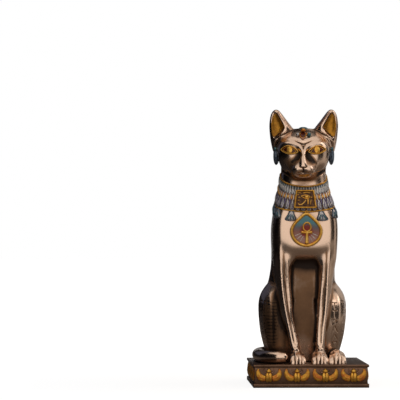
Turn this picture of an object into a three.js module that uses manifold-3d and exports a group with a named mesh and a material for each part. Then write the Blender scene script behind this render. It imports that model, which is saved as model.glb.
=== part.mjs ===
// A seated cat figure on a rectangular plinth: cast resin with a bronze finish.
// Millimetres, +Z up. The origin is the centre of the plinth's underside and the cat faces -Y.
import * as THREE from 'three';
import { mergeVertices } from 'three/addons/utils/BufferGeometryUtils.js';
import Module from 'manifold-3d';

const wasm = await Module();
wasm.setup();

// The cat. Everything on it is given in hundredths of its own height.
const CAT_HEIGHT = 189.5;
const CAT_OFFSET = -2;
const HEAD_TURN = THREE.MathUtils.degToRad(4.5);
const UNIT = CAT_HEIGHT / 100;

// The plinth carries the cat's footprint with a border on each side.
const FOOTPRINT_WIDTH = 35.3 * UNIT;
const FOOTPRINT_DEPTH = 46.8 * UNIT;
const SIDE_BORDER = 9.2;
const END_BORDER = 7.8;
const PLINTH_WIDTH = FOOTPRINT_WIDTH + 2 * SIDE_BORDER;
const PLINTH_DEPTH = FOOTPRINT_DEPTH + 2 * END_BORDER;
const PLINTH_HEIGHT = 17;
const TOP_SLAB = 1.9;
const BASE_SLAB = 2.9;
const FRIEZE_INSET = 1;

// The winged scarabs of the frieze.
const SCARAB_PITCH = 21;
const WING_SPAN = 18.8;
const SCARAB_HEIGHT = 10.4;
const SCARAB_RELIEF = 1.4;

const WELD = 1e-4;

// A closed three.js geometry as a solid, whichever way round its faces were.
function solid(geometry) {
  const bare = new THREE.BufferGeometry();
  bare.setAttribute('position', geometry.getAttribute('position').clone());
  bare.setIndex(geometry.index);
  const welded = mergeVertices(bare, WELD);
  const position = welded.getAttribute('position');
  const corners = [0, 1, 2].map(() => new THREE.Vector3());
  const faces = [];
  let volume = 0;
  for (let i = 0; i < welded.index.count; i += 3) {
    const face = [0, 1, 2].map((step) => welded.index.getX(i + step));
    if (new Set(face).size < 3) continue;
    corners.forEach((corner, step) => corner.fromBufferAttribute(position, face[step]));
    volume += corners[0].dot(corners[1].clone().cross(corners[2]));
    faces.push(face);
  }
  if (volume < 0) faces.forEach((face) => face.reverse());
  return new wasm.Manifold(new wasm.Mesh({
    numProp: 3,
    vertProperties: new Float32Array(position.array),
    triVerts: Uint32Array.from(faces.flat()),
  }));
}

function geometryOf(body) {
  const { vertProperties, triVerts } = body.getMesh();
  const geometry = new THREE.BufferGeometry();
  geometry.setAttribute('position', new THREE.BufferAttribute(vertProperties, 3));
  geometry.setIndex(new THREE.BufferAttribute(triVerts, 1));
  return geometry;
}

const union = (bodies) => bodies.reduce((whole, body) => whole.add(body));

// Moves each vertex of a three.js shape to the point that place gives, in hundredths of the cat.
function carve(geometry, place) {
  const position = geometry.getAttribute('position');
  const point = new THREE.Vector3();
  for (let i = 0; i < position.count; i += 1) {
    point.fromBufferAttribute(position, i);
    const [x, y, z] = place(point.x, point.y, point.z);
    position.setXYZ(i, x * UNIT, y * UNIT, z * UNIT);
  }
  return solid(geometry);
}

// Rows of numbers as one smooth curve: smooth(rows)(t) gives the row at t from 0 to 1.
function smooth(rows) {
  const size = rows[0].length;
  const curve = new THREE.CubicInterpolant(rows.map((row, i) => i), rows.flat(), size);
  return (t) => [...curve.evaluate(t * (rows.length - 1))];
}

// The same, by the first number of each row, such as a height.
function smoothBy(rows) {
  const curve = new THREE.CubicInterpolant(rows.map((row) => row[0]), rows.flat(), rows[0].length);
  return (value) => [...curve.evaluate(value)];
}

const bent = (value, square) => Math.sign(value) * Math.abs(value) ** (2 / square);

// A skin over sections of [height, inner side, outer side, front, back, drift], on one side of the
// cat. The drift is to the right on both sides: a hand-modelled cat isn't quite symmetrical.
function loft(sections, { side = 1, sides = 20, rows = 12, square = 2.2, groove = 0 }) {
  const section = smooth(sections);
  return carve(new THREE.CylinderGeometry(1, 1, 1, sides, rows), (across, along, away) => {
    const [height, inner, outer, front, back, drift = 0] = section(along + 0.5);
    const dent = 1 - groove * Math.max(0, 1 - 3 * Math.abs(across)) * (away < 0 ? 1 : 0);
    const x = (inner + outer) / 2 + (outer - inner) / 2 * bent(across, square);
    const y = (front + back) / 2 + (back - front) / 2 * bent(away, square) * dent;
    return [side * x + drift, y, height];
  });
}

const ball = (centre, radii, sides = 12, rows = 8) => (
  carve(new THREE.SphereGeometry(1, sides, rows), (x, y, z) => (
    [x, y, z].map((value, axis) => centre[axis] + value * radii[axis])
  ))
);

// A round bar along a smooth run of points, with a radius for each point.
function bar(points, radii, { sides = 8, rows = 8 } = {}) {
  const line = new THREE.CatmullRomCurve3(points.map((point) => new THREE.Vector3(...point)));
  const thickness = smooth(radii.map((radius) => [radius]));
  const up = new THREE.Vector3(0, 0, 1);
  return carve(new THREE.CylinderGeometry(1, 1, 1, sides, rows), (across, along, away) => {
    const t = along + 0.5;
    const forward = line.getTangent(t);
    const sideways = new THREE.Vector3().crossVectors(forward, up).normalize();
    const upward = new THREE.Vector3().crossVectors(sideways, forward);
    const [radius] = thickness(t);
    return line.getPoint(t)
      .addScaledVector(sideways, across * radius)
      .addScaledVector(upward, away * radius)
      .toArray();
  });
}

// A closed ring of round wire. track(angle, out, lift) gives the point at an angle round the ring,
// a little further out and a little higher than its centre line.
function ring(track, radius, { around = 24, sides = 6 } = {}) {
  return carve(new THREE.TorusGeometry(1, radius, sides, around), (x, y, z) => (
    track(Math.atan2(y, x), Math.hypot(x, y) - 1, z)
  ));
}

// Body and limbs

// [height, half width, front, back, drift]
const TORSO = [
  [-1, 12, -3, 20.4, -0.5],
  [6.3, 13.3, -4.2, 22.4, -0.5],
  [15.9, 14.2, -5.3, 22.8, -0.5],
  [26.5, 14, -6.3, 21.4, -0.5],
  [34.4, 13, -8.2, 19.2, -0.3],
  [40.5, 12.7, -9.6, 17, -0.1],
  [44, 12.7, -13.2, 15.7, 0],
  [47.6, 12.75, -15, 14.3, 0],
  [52.9, 12.85, -15.7, 12.2, 0],
  [58.2, 12.4, -15.3, 10.1, 0],
  [63.5, 11.4, -14.3, 8.4, -0.3],
  [68.8, 10, -12.6, 6.9, -0.4],
  [74.1, 9.4, -11.4, 5.7, -0.4],
  [79.5, 9, -10.6, 4.6, -0.3],
  [84, 7, -9, 2.6, -0.2],
];
const torsoAt = smoothBy(TORSO);
const ROUNDNESS = 2.2;

// The point of the torso's skin at a height and an angle (0 is the cat's left, -90 degrees its
// chest), pushed out by a distance.
function onTorso(angle, height, out) {
  const [, halfWidth, front, back, drift] = torsoAt(height);
  const x = (halfWidth + out) * bent(Math.cos(angle), ROUNDNESS);
  const y = (front + back) / 2 + ((back - front) / 2 + out) * bent(Math.sin(angle), ROUNDNESS);
  return [x + drift, y, height];
}

const torso = () => loft(
  TORSO.map(([height, halfWidth, ...rest]) => [height, -halfWidth, halfWidth, ...rest]),
  { sides: 20, rows: 15, square: ROUNDNESS },
);

const haunch = (side) => loft([
  [-1, 2.1, 13, -9.5, 15.9],
  [2.1, 2.1, 14, -11.1, 17.5],
  [5.3, 2.6, 15.1, -12.4, 19],
  [10.6, 3.2, 16.5, -13.5, 20.1],
  [16.9, 3.2, 17.3, -13.8, 19.6],
  [22.2, 3.2, 17.5, -12.7, 18.5],
  [25.9, 3.2, 16.9, -10.3, 17.2],
  [28.6, 3.7, 15.5, -7.1, 15.6],
  [30.7, 4.8, 13.8, -3.7, 13.8],
  [32.3, 6.3, 11.9, 0, 11.1],
].map((section) => [...section, -0.5]), { side, sides: 15, rows: 10 });

const foreleg = (side) => loft([
  [-1, 2.3, 7, -20.8, -14.8, 0.6],
  [4.2, 2.8, 6.8, -19.8, -14.8, 0.45],
  [7.4, 3.4, 6.9, -18.9, -14.6, 0.25],
  [13.2, 4.2, 7.7, -17.8, -13.1, -0.25],
  [19.6, 5, 9.4, -16.7, -10.8, -0.6],
  [25.4, 4.9, 10.4, -16, -7.9, -0.65],
  [30.7, 4.5, 11.2, -15.6, -3.7, -0.6],
  [36, 3.9, 11.9, -15.3, 1.1, -0.4],
  [41.3, 3.3, 12.5, -15.1, 3.7, -0.2],
  [46.6, 2.6, 12.6, -14.4, 5.3, 0],
  [50.5, 3, 11.6, -12, 4.5, 0],
], { side, sides: 12, rows: 9, groove: 0.16 });

const bellyColumn = () => loft([
  [-1, -2.8, 2.8, -10, 0],
  [6, -3, 3, -10.4, 0],
  [18, -3.9, 3.9, -10.7, 0],
  [30, -4, 4, -10.8, 0],
  [36.2, -3.6, 3.6, -10.6, 0],
], { sides: 8, rows: 3, square: 4 });

// A paw with four toes, scalloped at its front.
function paw({ centre, tip, heel, halfWidth, height }) {
  const toes = 4;
  return carve(new THREE.SphereGeometry(1, 24, 5), (across, up, away) => {
    const toe = Math.abs(Math.sin((across + 1) * Math.PI * toes / 2));
    const frontness = Math.max(0, -away);
    const scallop = 1 - 0.24 * (1 - toe) * Math.min(1, 2 * frontness);
    return [
      centre + halfWidth * across,
      (tip + heel) / 2 + (heel - tip) / 2 * away * scallop,
      height * up * (1 - 0.3 * frontness ** 2) * (0.5 + scallop / 2),
    ];
  });
}
const forePaw = (side) => paw({
  centre: side * 4.25 + 0.55, tip: -24.4, heel: -13, halfWidth: 3.4, height: 5.2,
});
// The tail's end lies over the toes of the other hind paw.
const hindPaw = (side) => paw({
  centre: side * 11.8, tip: side > 0 ? -23.6 : -19, heel: -7, halfWidth: 3.6, height: 5,
});

// The tail leaves the rump, lies round the cat's right side and ends before its forepaw.
const TAIL_RADIUS = 2.55;
const TAIL_PATH = [
  [6, 17], [0, 20.4], [-7.4, 20.9], [-13.8, 17.5], [-17.2, 9],
  [-17.9, 0], [-17.6, -8.5], [-15.7, -15.9], [-11.8, -19.9], [-9.4, -20.6],
];
const tail = () => bar(
  TAIL_PATH.map((place) => [...place, TAIL_RADIUS - 0.1]),
  [2.8, 2.8, 2.8, 2.7, 2.65, 2.6, TAIL_RADIUS, TAIL_RADIUS, 2.35, 1.1],
  { sides: 9, rows: 17 },
);

// Collar, eye panel and pendant

// A tilted line round the neck: lowest at the chest and higher at the nape.
const sloped = (lowest, rise) => (angle) => lowest + rise * (1 + Math.sin(angle)) / 2;
const COLLAR_TOP = sloped(69.9, 5.2);
const COLLAR_FOOT = sloped(59.8, 5.6);
const COLLAR_RELIEF = 0.45;
const WIRE_RELIEF = 0.85;
const WIRE_WIDTH = 0.75;

// The band's edge wires stand a little prouder than its bead rows.
function collar() {
  const wireRelief = [0, WIRE_RELIEF, COLLAR_RELIEF];
  const reliefs = [...wireRelief, ...wireRelief.toReversed()];
  const rows = reliefs.length - 1;
  return carve(new THREE.CylinderGeometry(1, 1, 1, 20, rows), (across, along, away) => {
    const angle = Math.atan2(away, across);
    const row = Math.round((along + 0.5) * rows);
    const [wire, step] = row < 3 ? [COLLAR_FOOT(angle), row - 1] : [COLLAR_TOP(angle), row - 4];
    const height = wire + step * WIRE_WIDTH / 2;
    const [x, y] = onTorso(angle, height, reliefs[row]);
    const reach = Math.hypot(across, away);
    return [x * reach, y * reach, height];
  });
}

// Lotus drops hang below the collar at even steps. The front one's place is the pendant's.
const DROP_COUNT = 12;
function drops() {
  const [length, narrow, wide, thickness] = [3.6, 0.9, 1.9, 0.75];
  const parts = [];
  for (let drop = 1; drop < DROP_COUNT; drop += 1) {
    const angle = -Math.PI / 2 + drop * 2 * Math.PI / DROP_COUNT;
    const top = COLLAR_FOOT(angle);
    parts.push(carve(new THREE.CylinderGeometry(1, 1, 1, 6, 1), (across, along, away) => {
      const halfWidth = THREE.MathUtils.lerp(wide, narrow, along + 0.5);
      const height = top - length * (0.5 - along);
      const turn = angle + across * halfWidth / 12;
      return onTorso(turn, height, away * thickness);
    }));
  }
  return union(parts);
}

// A plate set into the chest, cut to an outline. Its face stands at front and leans back.
function plate(outline, [across, front, height], lean, proud = 0) {
  const thickness = 3;
  const cut = { depth: 1, bevelEnabled: false, curveSegments: 4 };
  return carve(new THREE.ExtrudeGeometry(outline, cut), (x, z, forward) => [
    across + x,
    front - proud + (1 - forward) * thickness + z * Math.tan(lean),
    height + z,
  ]);
}

function trapezium(foot, head, height, inset = 0) {
  const outline = new THREE.Shape();
  outline.moveTo(inset - foot, inset - height / 2);
  outline.lineTo(foot - inset, inset - height / 2);
  outline.lineTo(head - inset, height / 2 - inset);
  outline.lineTo(inset - head, height / 2 - inset);
  return outline;
}

function eyePanel() {
  const [foot, head, height, border] = [4.45, 3.55, 6.7, 0.55];
  const [place, lean] = [[-0.2, -15.1, 64.4], THREE.MathUtils.degToRad(13)];
  const frame = trapezium(foot, head, height);
  frame.holes.push(trapezium(foot, head, height, border));
  return plate(trapezium(foot, head, height), place, lean).add(plate(frame, place, lean, 0.3));
}

function teardrop(radius) {
  const outline = new THREE.Shape();
  outline.moveTo(0, radius * 1.12);
  outline.lineTo(-radius * 0.84, radius * 0.42);
  outline.quadraticCurveTo(-radius * 0.98, radius * 0.22, -radius, 0);
  outline.absarc(0, 0, radius, Math.PI, 2 * Math.PI, false);
  outline.quadraticCurveTo(radius * 0.98, radius * 0.22, radius * 0.84, radius * 0.42);
  return outline;
}

// A looped cross: a stem that widens to its foot, a bar and an oval loop.
function loopedCross() {
  const stem = new THREE.Shape();
  const [foot, waist, bar] = [0.85, 0.5, 2.1];
  stem.moveTo(-foot, -5.2);
  stem.lineTo(foot, -5.2);
  stem.lineTo(waist, -0.7);
  stem.lineTo(bar, -0.9);
  stem.lineTo(bar, 0.3);
  stem.lineTo(-bar, 0.3);
  stem.lineTo(-bar, -0.9);
  stem.lineTo(-waist, -0.7);
  const loop = new THREE.Shape();
  loop.absellipse(0, 1.8, 1.75, 1.95, 0, 2 * Math.PI);
  const hole = new THREE.Path();
  hole.absellipse(0, 1.9, 1, 1.2, 0, 2 * Math.PI);
  loop.holes.push(hole);
  return [stem, loop];
}

function pendant() {
  const [radius, border] = [6.4, 1.15];
  const [place, lean] = [[-0.1, -16.3, 51.9], THREE.MathUtils.degToRad(-2)];
  const rim = teardrop(radius);
  rim.holes.push(teardrop(radius - border));
  const field = plate(teardrop(radius - border / 2), place, lean);
  const cross = loopedCross().map((outline) => plate(outline, place, lean, 0.4));
  return union([field, plate(rim, place, lean, 0.5), ...cross]);
}

// Head

// [height, half width, front, back]
const SKULL = [
  [72.3, 3.4, -14.4, -6],
  [74, 6.1, -15.9, -2.5],
  [76.2, 8.2, -16.8, 0.5],
  [78.3, 9.5, -17.2, 2.6],
  [81, 10.3, -17.2, 4.2],
  [83.6, 10.5, -16.9, 5],
  [86.2, 10.2, -15.7, 4.8],
  [88.9, 8.9, -13.2, 3.4],
  [91, 6.5, -10.1, 1.3],
  [92.4, 3.2, -6.9, -1.6],
];
const skullAt = smoothBy(SKULL);
const skull = () => loft(
  SKULL.map(([height, halfWidth, front, back]) => [height, -halfWidth, halfWidth, front, back]),
  { sides: 18, rows: 11, square: ROUNDNESS },
);

// The point of the face at a place across and a height, brought forward by a distance.
function onFace(across, height, out = 0) {
  const [, halfWidth, front, back] = skullAt(height);
  const reach = (1 - Math.abs(across / halfWidth) ** ROUNDNESS) ** (1 / ROUNDNESS);
  return [across, (front + back) / 2 - (back - front) / 2 * reach - out, height];
}

function muzzle() {
  const parts = [
    ball([0, -16.4, 77.2], [4.8, 4.6, 4.3], 10, 6),
    ball([0, -18.5, 74], [2.5, 2.3, 1.5], 8, 4),
    ball([0, -21.3, 77.4], [1.5, 1.1, 1], 6, 4),
    bar([[0, -15.6, 85.4], [0, -18.4, 81.6], [0, -20.6, 78]], [1.5, 1.1, 1.35], { sides: 6, rows: 3 }),
  ];
  for (const side of [-1, 1]) {
    parts.push(ball([side * 2.1, -19.1, 76.1], [2.4, 2.5, 2.3], 8, 5));
    const brow = [[0.6, 84.2], [2.6, 86.2], [6, 87.3], [9, 85.8]];
    parts.push(bar(
      brow.map(([across, height]) => onFace(side * across, height, -0.35)),
      [0.9, 0.85, 0.8, 0.5],
      { sides: 4, rows: 5 },
    ));
  }
  return union(parts);
}

// An almond eye: a raised rim round a low ball. Its outer corner is a little higher.
function eye(side) {
  const [centre, height, halfLength, halfHeight, tilt] = [5.55, 84.1, 3.5, 1.75, 0.12];
  const rim = ring((angle, out, lift) => {
    const along = Math.cos(angle);
    const across = centre + (halfLength + out) * along;
    const rise = (halfHeight * (1 - 0.5 * along * along) + out) * Math.sin(angle);
    return onFace(side * across, height + rise + tilt * halfLength * along, lift);
  }, 0.34, { around: 12, sides: 4 });
  const [x, y, z] = onFace(side * centre, height, -1.3);
  return rim.add(ball([x, y, z], [2.8, 1.6, 1.5], 6, 4));
}

const EAR = [
  [82.5, 9.8, 12.1, -6.9, -1.5],
  [85.2, 7.9, 12.7, -8.2, -0.4],
  [87.8, 5.8, 13.2, -9.2, 0.2],
  [90.5, 4.2, 13.5, -9.6, 0.2],
  [92.6, 4.4, 13.65, -9.5, -0.2],
  [94.2, 5.6, 13.65, -9.2, -0.8],
  [96.3, 7.2, 13.4, -8.6, -1.7],
  [98.1, 8.5, 13, -7.9, -2.6],
  [99.3, 9.5, 12.2, -7.2, -3.6],
  [100, 10.4, 11.4, -6.4, -4.6],
];
const EAR_HOLLOW = [
  [88.6, 10.9, 11.5, -11, -7.6],
  [90.2, 9.6, 12.2, -12, -6.6],
  [92.6, 7.2, 12.6, -12, -5.6],
  [95, 8.6, 12.5, -11, -5.2],
  [97, 10, 12.1, -10, -5.2],
  [98.6, 10.8, 11.5, -9, -5.8],
];
const ear = (side) => loft(EAR, { side, sides: 11, rows: 8 })
  .subtract(loft(EAR_HOLLOW, { side, sides: 7, rows: 4 }));

// A long drop hangs from each ear beside the cheek.
const earDrop = (side) => ball([side * 11, -5.6, 82], [0.95, 2.2, 4.1], 8, 5);

const browJewel = () => union([
  ball([0, -13.2, 89], [1.3, 1.4, 1.35], 7, 4),
  ball([0, -11.4, 91.4], [1.7, 2, 1.6], 7, 4),
  ball([-2.1, -12.6, 89.6], [0.75, 1, 0.75], 6, 4),
  ball([2.1, -12.6, 89.6], [0.75, 1, 0.75], 6, 4),
]);

function head() {
  const parts = [skull(), muzzle(), browJewel()];
  for (const side of [-1, 1]) parts.push(eye(side), ear(side), earDrop(side));
  return union(parts).rotate([0, 0, -THREE.MathUtils.radToDeg(HEAD_TURN)]);
}

// The whole cat, cut off flat where it sits.
function cat() {
  const parts = [torso(), bellyColumn(), tail(), collar(), drops(), eyePanel(), pendant(), head()];
  for (const side of [-1, 1]) {
    parts.push(haunch(side), foreleg(side), forePaw(side), hindPaw(side));
  }
  const below = new THREE.BoxGeometry(PLINTH_WIDTH, PLINTH_DEPTH, CAT_HEIGHT);
  below.translate(0, 0, -CAT_HEIGHT / 2);
  return union(parts).subtract(solid(below));
}

// Plinth

function box(width, depth, height, z) {
  const geometry = new THREE.BoxGeometry(width, depth, height);
  geometry.translate(0, 0, z + height / 2);
  return solid(geometry);
}

// A scarab with spread wings on a face that looks along -Y: the back half is inside the plinth.
function scarab() {
  const wings = new THREE.Shape();
  const [tip, high] = [WING_SPAN / 2, SCARAB_HEIGHT / 2];
  wings.moveTo(0, -high * 0.5);
  wings.quadraticCurveTo(tip * 0.7, -high * 0.9, tip, -high * 0.1);
  wings.quadraticCurveTo(tip, high * 0.8, tip * 0.7, high * 0.9);
  wings.quadraticCurveTo(tip * 0.5, high * 0.2, 0, high * 0.3);
  wings.quadraticCurveTo(-tip * 0.5, high * 0.2, -tip * 0.7, high * 0.9);
  wings.quadraticCurveTo(-tip, high * 0.8, -tip, -high * 0.1);
  wings.quadraticCurveTo(-tip * 0.7, -high * 0.9, 0, -high * 0.5);
  const slab = new THREE.ExtrudeGeometry(wings, { depth: 1, bevelEnabled: false, curveSegments: 2 });
  slab.rotateX(Math.PI / 2);
  slab.scale(1, SCARAB_RELIEF, 1);
  slab.translate(0, SCARAB_RELIEF * 0.4, 0);
  const relief = (width, height, z) => {
    const shell = new THREE.SphereGeometry(0.5, 8, 4);
    shell.scale(width, SCARAB_RELIEF * 2, height);
    shell.translate(0, 0, z);
    return solid(shell);
  };
  const body = relief(WING_SPAN * 0.3, SCARAB_HEIGHT * 0.7, -high * 0.25);
  return union([solid(slab), body, relief(WING_SPAN * 0.2, SCARAB_HEIGHT * 0.36, high * 0.6)]);
}

function plinth() {
  const friezeHeight = PLINTH_HEIGHT - TOP_SLAB - BASE_SLAB;
  const width = PLINTH_WIDTH - 2 * FRIEZE_INSET;
  const depth = PLINTH_DEPTH - 2 * FRIEZE_INSET;
  const parts = [
    box(PLINTH_WIDTH, PLINTH_DEPTH, BASE_SLAB, 0),
    box(width, depth, friezeHeight, BASE_SLAB),
    box(PLINTH_WIDTH, PLINTH_DEPTH, TOP_SLAB, PLINTH_HEIGHT - TOP_SLAB),
  ];
  const figure = scarab();
  const faces = [
    { turn: 0, length: width, away: depth / 2 },
    { turn: 90, length: depth, away: width / 2 },
    { turn: 180, length: width, away: depth / 2 },
    { turn: 270, length: depth, away: width / 2 },
  ];
  for (const { turn, length, away } of faces) {
    const count = Math.max(1, Math.floor((length + SCARAB_PITCH - WING_SPAN) / SCARAB_PITCH));
    const step = length / count;
    for (let i = 0; i < count; i += 1) {
      const along = (i + 0.5) * step - length / 2;
      parts.push(figure.translate([along, -away, BASE_SLAB + friezeHeight / 2]).rotate([0, 0, turn]));
    }
  }
  const [chipX, chipWidth, chipDepth] = [PLINTH_WIDTH * 0.44, 3, 1];
  const chip = new THREE.SphereGeometry(1, 6, 4);
  chip.scale(chipWidth / 2, chipDepth, chipDepth);
  chip.translate(chipX, PLINTH_DEPTH / 2, PLINTH_HEIGHT);
  return union(parts).subtract(solid(chip));
}

const finish = (color, roughness, metalness) => (
  new THREE.MeshStandardMaterial({ color, roughness, metalness })
);

const catMesh = new THREE.Mesh(geometryOf(cat()), finish('#6a4c3b', 0.34, 0.75));
catMesh.name = 'cat';
catMesh.position.set(CAT_OFFSET, 0, PLINTH_HEIGHT);

const plinthMesh = new THREE.Mesh(geometryOf(plinth()), finish('#4a3226', 0.4, 0.7));
plinthMesh.name = 'plinth';

const figure = new THREE.Group();
figure.add(catMesh, plinthMesh);

export default figure;
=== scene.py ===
# %% [markdown]
# # A seated cat in bronze-finished resin
# The real figure is a small cast ornament: one resin casting of a cat with a collar, jewels and
# a pendant in low relief, on a plinth with a scarab frieze. Bronze powder in the resin gives it
# its metal look, and small areas are painted by hand. This lesson builds it in the order in which
# a modeller would: big forms first, then the face and paws, then the jewellery, then the paint.

# %% The frame and the sizes it gives
import math
import random

import bmesh
import bpy
import numpy as np
from mathutils import Matrix, Vector
from mathutils.bvhtree import BVHTree

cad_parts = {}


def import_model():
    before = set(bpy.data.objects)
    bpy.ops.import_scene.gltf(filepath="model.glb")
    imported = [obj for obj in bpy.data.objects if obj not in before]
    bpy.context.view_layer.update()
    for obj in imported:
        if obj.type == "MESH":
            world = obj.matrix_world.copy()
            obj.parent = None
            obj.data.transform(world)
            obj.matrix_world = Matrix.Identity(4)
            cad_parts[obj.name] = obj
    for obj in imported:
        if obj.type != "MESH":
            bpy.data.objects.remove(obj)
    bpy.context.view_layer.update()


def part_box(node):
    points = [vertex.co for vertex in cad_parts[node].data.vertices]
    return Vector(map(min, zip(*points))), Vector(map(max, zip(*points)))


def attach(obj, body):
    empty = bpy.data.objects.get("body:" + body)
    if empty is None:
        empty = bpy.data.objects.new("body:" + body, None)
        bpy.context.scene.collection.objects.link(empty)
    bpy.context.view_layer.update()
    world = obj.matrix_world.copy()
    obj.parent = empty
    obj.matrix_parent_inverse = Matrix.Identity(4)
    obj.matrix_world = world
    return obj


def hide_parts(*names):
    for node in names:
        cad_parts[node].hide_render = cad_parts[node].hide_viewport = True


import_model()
cat_low, cat_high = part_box("cat")
_, plinth_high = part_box("plinth")
MM = 0.001
CAT_X = -2 * MM  # the cat stands a little to the left of the plinth's middle
SEAT = cat_low.z
UNIT = (cat_high.z - cat_low.z) / 100
HEAD_TURN = math.radians(-4.5)
draw = random.Random(7)  # all chance comes from here, so that every run gives the same figure
print(f"the cat is {UNIT * 100 / MM:.1f} mm high; a hundredth of that is {UNIT / MM:.3f} mm")

# %% [markdown]
# Every form below is given in hundredths of the cat's height, because that is how a modeller reads
# proportions off a figure. A few rows of numbers make a smooth curve. It could be a curve object
# with handles, but a cubic through the rows keeps each row a section that can be changed by itself.


# %% Smooth curves through rows of numbers
def smooth(rows, by_first=False):
    """A smooth function through rows: of 0 to 1 along them, or of their first number."""
    rows = np.array(rows, float)
    knots = rows[:, 0] if by_first else np.linspace(0, 1, len(rows))
    slopes = np.gradient(rows, knots, axis=0)

    def at(value):
        value = np.clip(np.asarray(value, float), knots[0], knots[-1])
        i = np.clip(np.searchsorted(knots, value, side="right") - 1, 0, len(rows) - 2)
        span = (knots[i + 1] - knots[i])[..., None]
        f = (value - knots[i])[..., None] / span
        start = rows[i] * (1 + 2 * f) * (1 - f) ** 2 + slopes[i] * span * f * (1 - f) ** 2
        end = rows[i + 1] * f**2 * (3 - 2 * f) - slopes[i + 1] * span * f**2 * (1 - f)
        return np.moveaxis(start + end, -1, 0)

    return at


def bent(value, square):
    """Makes a circle's coordinate that of a squarer oval."""
    return np.sign(value) * np.abs(value) ** (2 / square)


def on_cat(x, y, z):
    """Hundredths of the cat's height as metres in the frame."""
    return np.stack([CAT_X + x * UNIT, y * UNIT, SEAT + z * UNIT])


def turned(x, y, angle=HEAD_TURN):
    """A place turned about the middle, by the head's own turn if no angle is given."""
    return math.cos(angle) * x - math.sin(angle) * y, math.sin(angle) * x + math.cos(angle) * y


def on_head(x, y, z):
    """A place on the head, which is turned a little to the cat's right."""
    return on_cat(*turned(x, y), z)


# %% [markdown]
# Each form starts as a plain cylinder or ball and is pulled to its shape point by point, the way a
# lump of clay is. A loft of separate rings would do too, but one closed starting shape can't leave
# a gap.


# %% Starting shapes, and pulling them into form
def drum(sides, rows):
    """A closed unit cylinder with rows of faces along it."""
    shape = bmesh.new()
    bmesh.ops.create_cone(shape, cap_ends=True, segments=sides, radius1=1, radius2=1, depth=1)
    upright = [e for e in shape.edges if abs(e.verts[0].co.z - e.verts[1].co.z) > 0.5]
    bmesh.ops.subdivide_edges(shape, edges=upright, cuts=rows - 1, use_grid_fill=True)
    return shape


def orb(sides, rows):
    """A closed unit ball, with its poles at the top and the bottom."""
    shape = bmesh.new()
    bmesh.ops.create_uvsphere(shape, u_segments=sides, v_segments=rows, radius=1)
    return shape


def pull(shape, place):
    """Moves every point of a starting shape to where place puts it."""
    points = np.array([v.co for v in shape.verts])
    for vert, point in zip(shape.verts, place(*points.T).T):
        vert.co = point
    return shape


def outward(shape):
    """Turns every face outwards. A mirrored shape is inside out until this is done."""
    shape.normal_update()
    bmesh.ops.recalc_face_normals(shape, faces=shape.faces)
    return shape


def add(target, shape):
    """Puts a finished shape into a bigger one."""
    outward(shape)
    carrier = bpy.data.meshes.new("carrier")
    shape.to_mesh(carrier)
    target.from_mesh(carrier)
    shape.free()
    bpy.data.meshes.remove(carrier)


def limb(sections, side=1, square=2.2, sides=72, rows=90, to=on_cat):
    """A skin through sections of [height, inner side, outer side, front, back, drift]."""
    section = smooth(sections)

    def place(across, away, along):
        height, inner, outer, front, back, drift = section(along + 0.5)
        reach = np.hypot(across, away)
        angle = np.arctan2(away, across)
        corner = square(height) if callable(square) else square
        x = (inner + outer) / 2 + (outer - inner) / 2 * bent(np.cos(angle), corner) * reach
        y = (front + back) / 2 + (back - front) / 2 * bent(np.sin(angle), corner) * reach
        return to(side * x + drift, y, height)

    return pull(drum(sides, rows), place)


def ball(centre, radii, to=on_cat, sides=32, rows=20):
    """A ball round a centre, pulled to three radii."""
    return pull(orb(sides, rows), lambda *p: to(*(centre[i] + radii[i] * p[i] for i in range(3))))


def bar(points, radii, to=on_cat, sides=20, rows=40, flat=1.0, up=(0, 0, 1), ribs=0):
    """A bar along a smooth run of points, with a radius for each, flattened and ribbed if asked."""
    line, thickness = smooth(points), smooth([[r] for r in radii])

    def place(across, away, along):
        t = along + 0.5
        middle = line(t)
        forward = line(np.clip(t + 0.01, 0, 1)) - line(np.clip(t - 0.01, 0, 1))
        forward = forward / np.linalg.norm(forward, axis=0)
        sideways = np.cross(forward.T, up).T
        sideways = sideways / np.linalg.norm(sideways, axis=0)
        upward = np.cross(sideways.T, forward.T).T
        rib = 1 + 0.22 * np.cos(2 * math.pi * ribs * across) if ribs else 1
        return to(*(middle + thickness(t) * (across * sideways + flat * rib * away * upward)))

    return pull(drum(sides, rows), place)


# %% [markdown]
# ## The big forms
# A seated cat is an egg-shaped trunk that narrows to the neck, two thighs like upright discs, two
# long straight forelegs and a flat column of belly between them. The sections were read as
# proportions of the height. The drift column moves a section sideways: the figure was modelled
# by hand, and it isn't quite symmetrical.

# %% Trunk
TORSO = [
    # height, half width, front, back, drift
    [-1, 12, -3, 20.4, -0.5],
    [6.3, 13.3, -4.2, 22.4, -0.5],
    [15.9, 14.2, -5.3, 22.8, -0.5],
    [26.5, 14, -6.3, 21.4, -0.5],
    [34.4, 13, -7.2, 19.2, -0.3],
    [38, 12.7, -9.6, 17.7, -0.1],
    [39.5, 12.7, -11.9, 17.2, -0.1],
    [41, 12.7, -13.6, 16.8, 0],
    [42.5, 12.7, -14.9, 16.2, 0],
    [44, 12.7, -15.7, 15.7, 0],
    [45.5, 12.7, -15.9, 15.1, 0],
    [47.6, 12.75, -15.8, 14.3, 0],
    [52.9, 12.85, -15.4, 12.2, 0],
    [58.2, 12.3, -14.8, 10.1, 0],
    [63.5, 10.9, -14, 8.4, -0.3],
    [68.8, 9.5, -12.6, 6.9, -0.4],
    [74.1, 8.9, -11.4, 5.7, -0.4],
    [79.5, 8.7, -10.6, 4.6, -0.3],
    [84, 7, -9, 2.6, -0.2],
]
torso_at = smooth(TORSO, by_first=True)


def squareness(height):
    """The chest is flat in front with sides that turn away; the rump and neck are rounder."""
    return np.interp(height, [0, 36, 44, 48, 58, 62, 70, 84], [2.3, 2.5, 4.2, 6.8, 6.5, 4.6, 3, 2.3])


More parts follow.
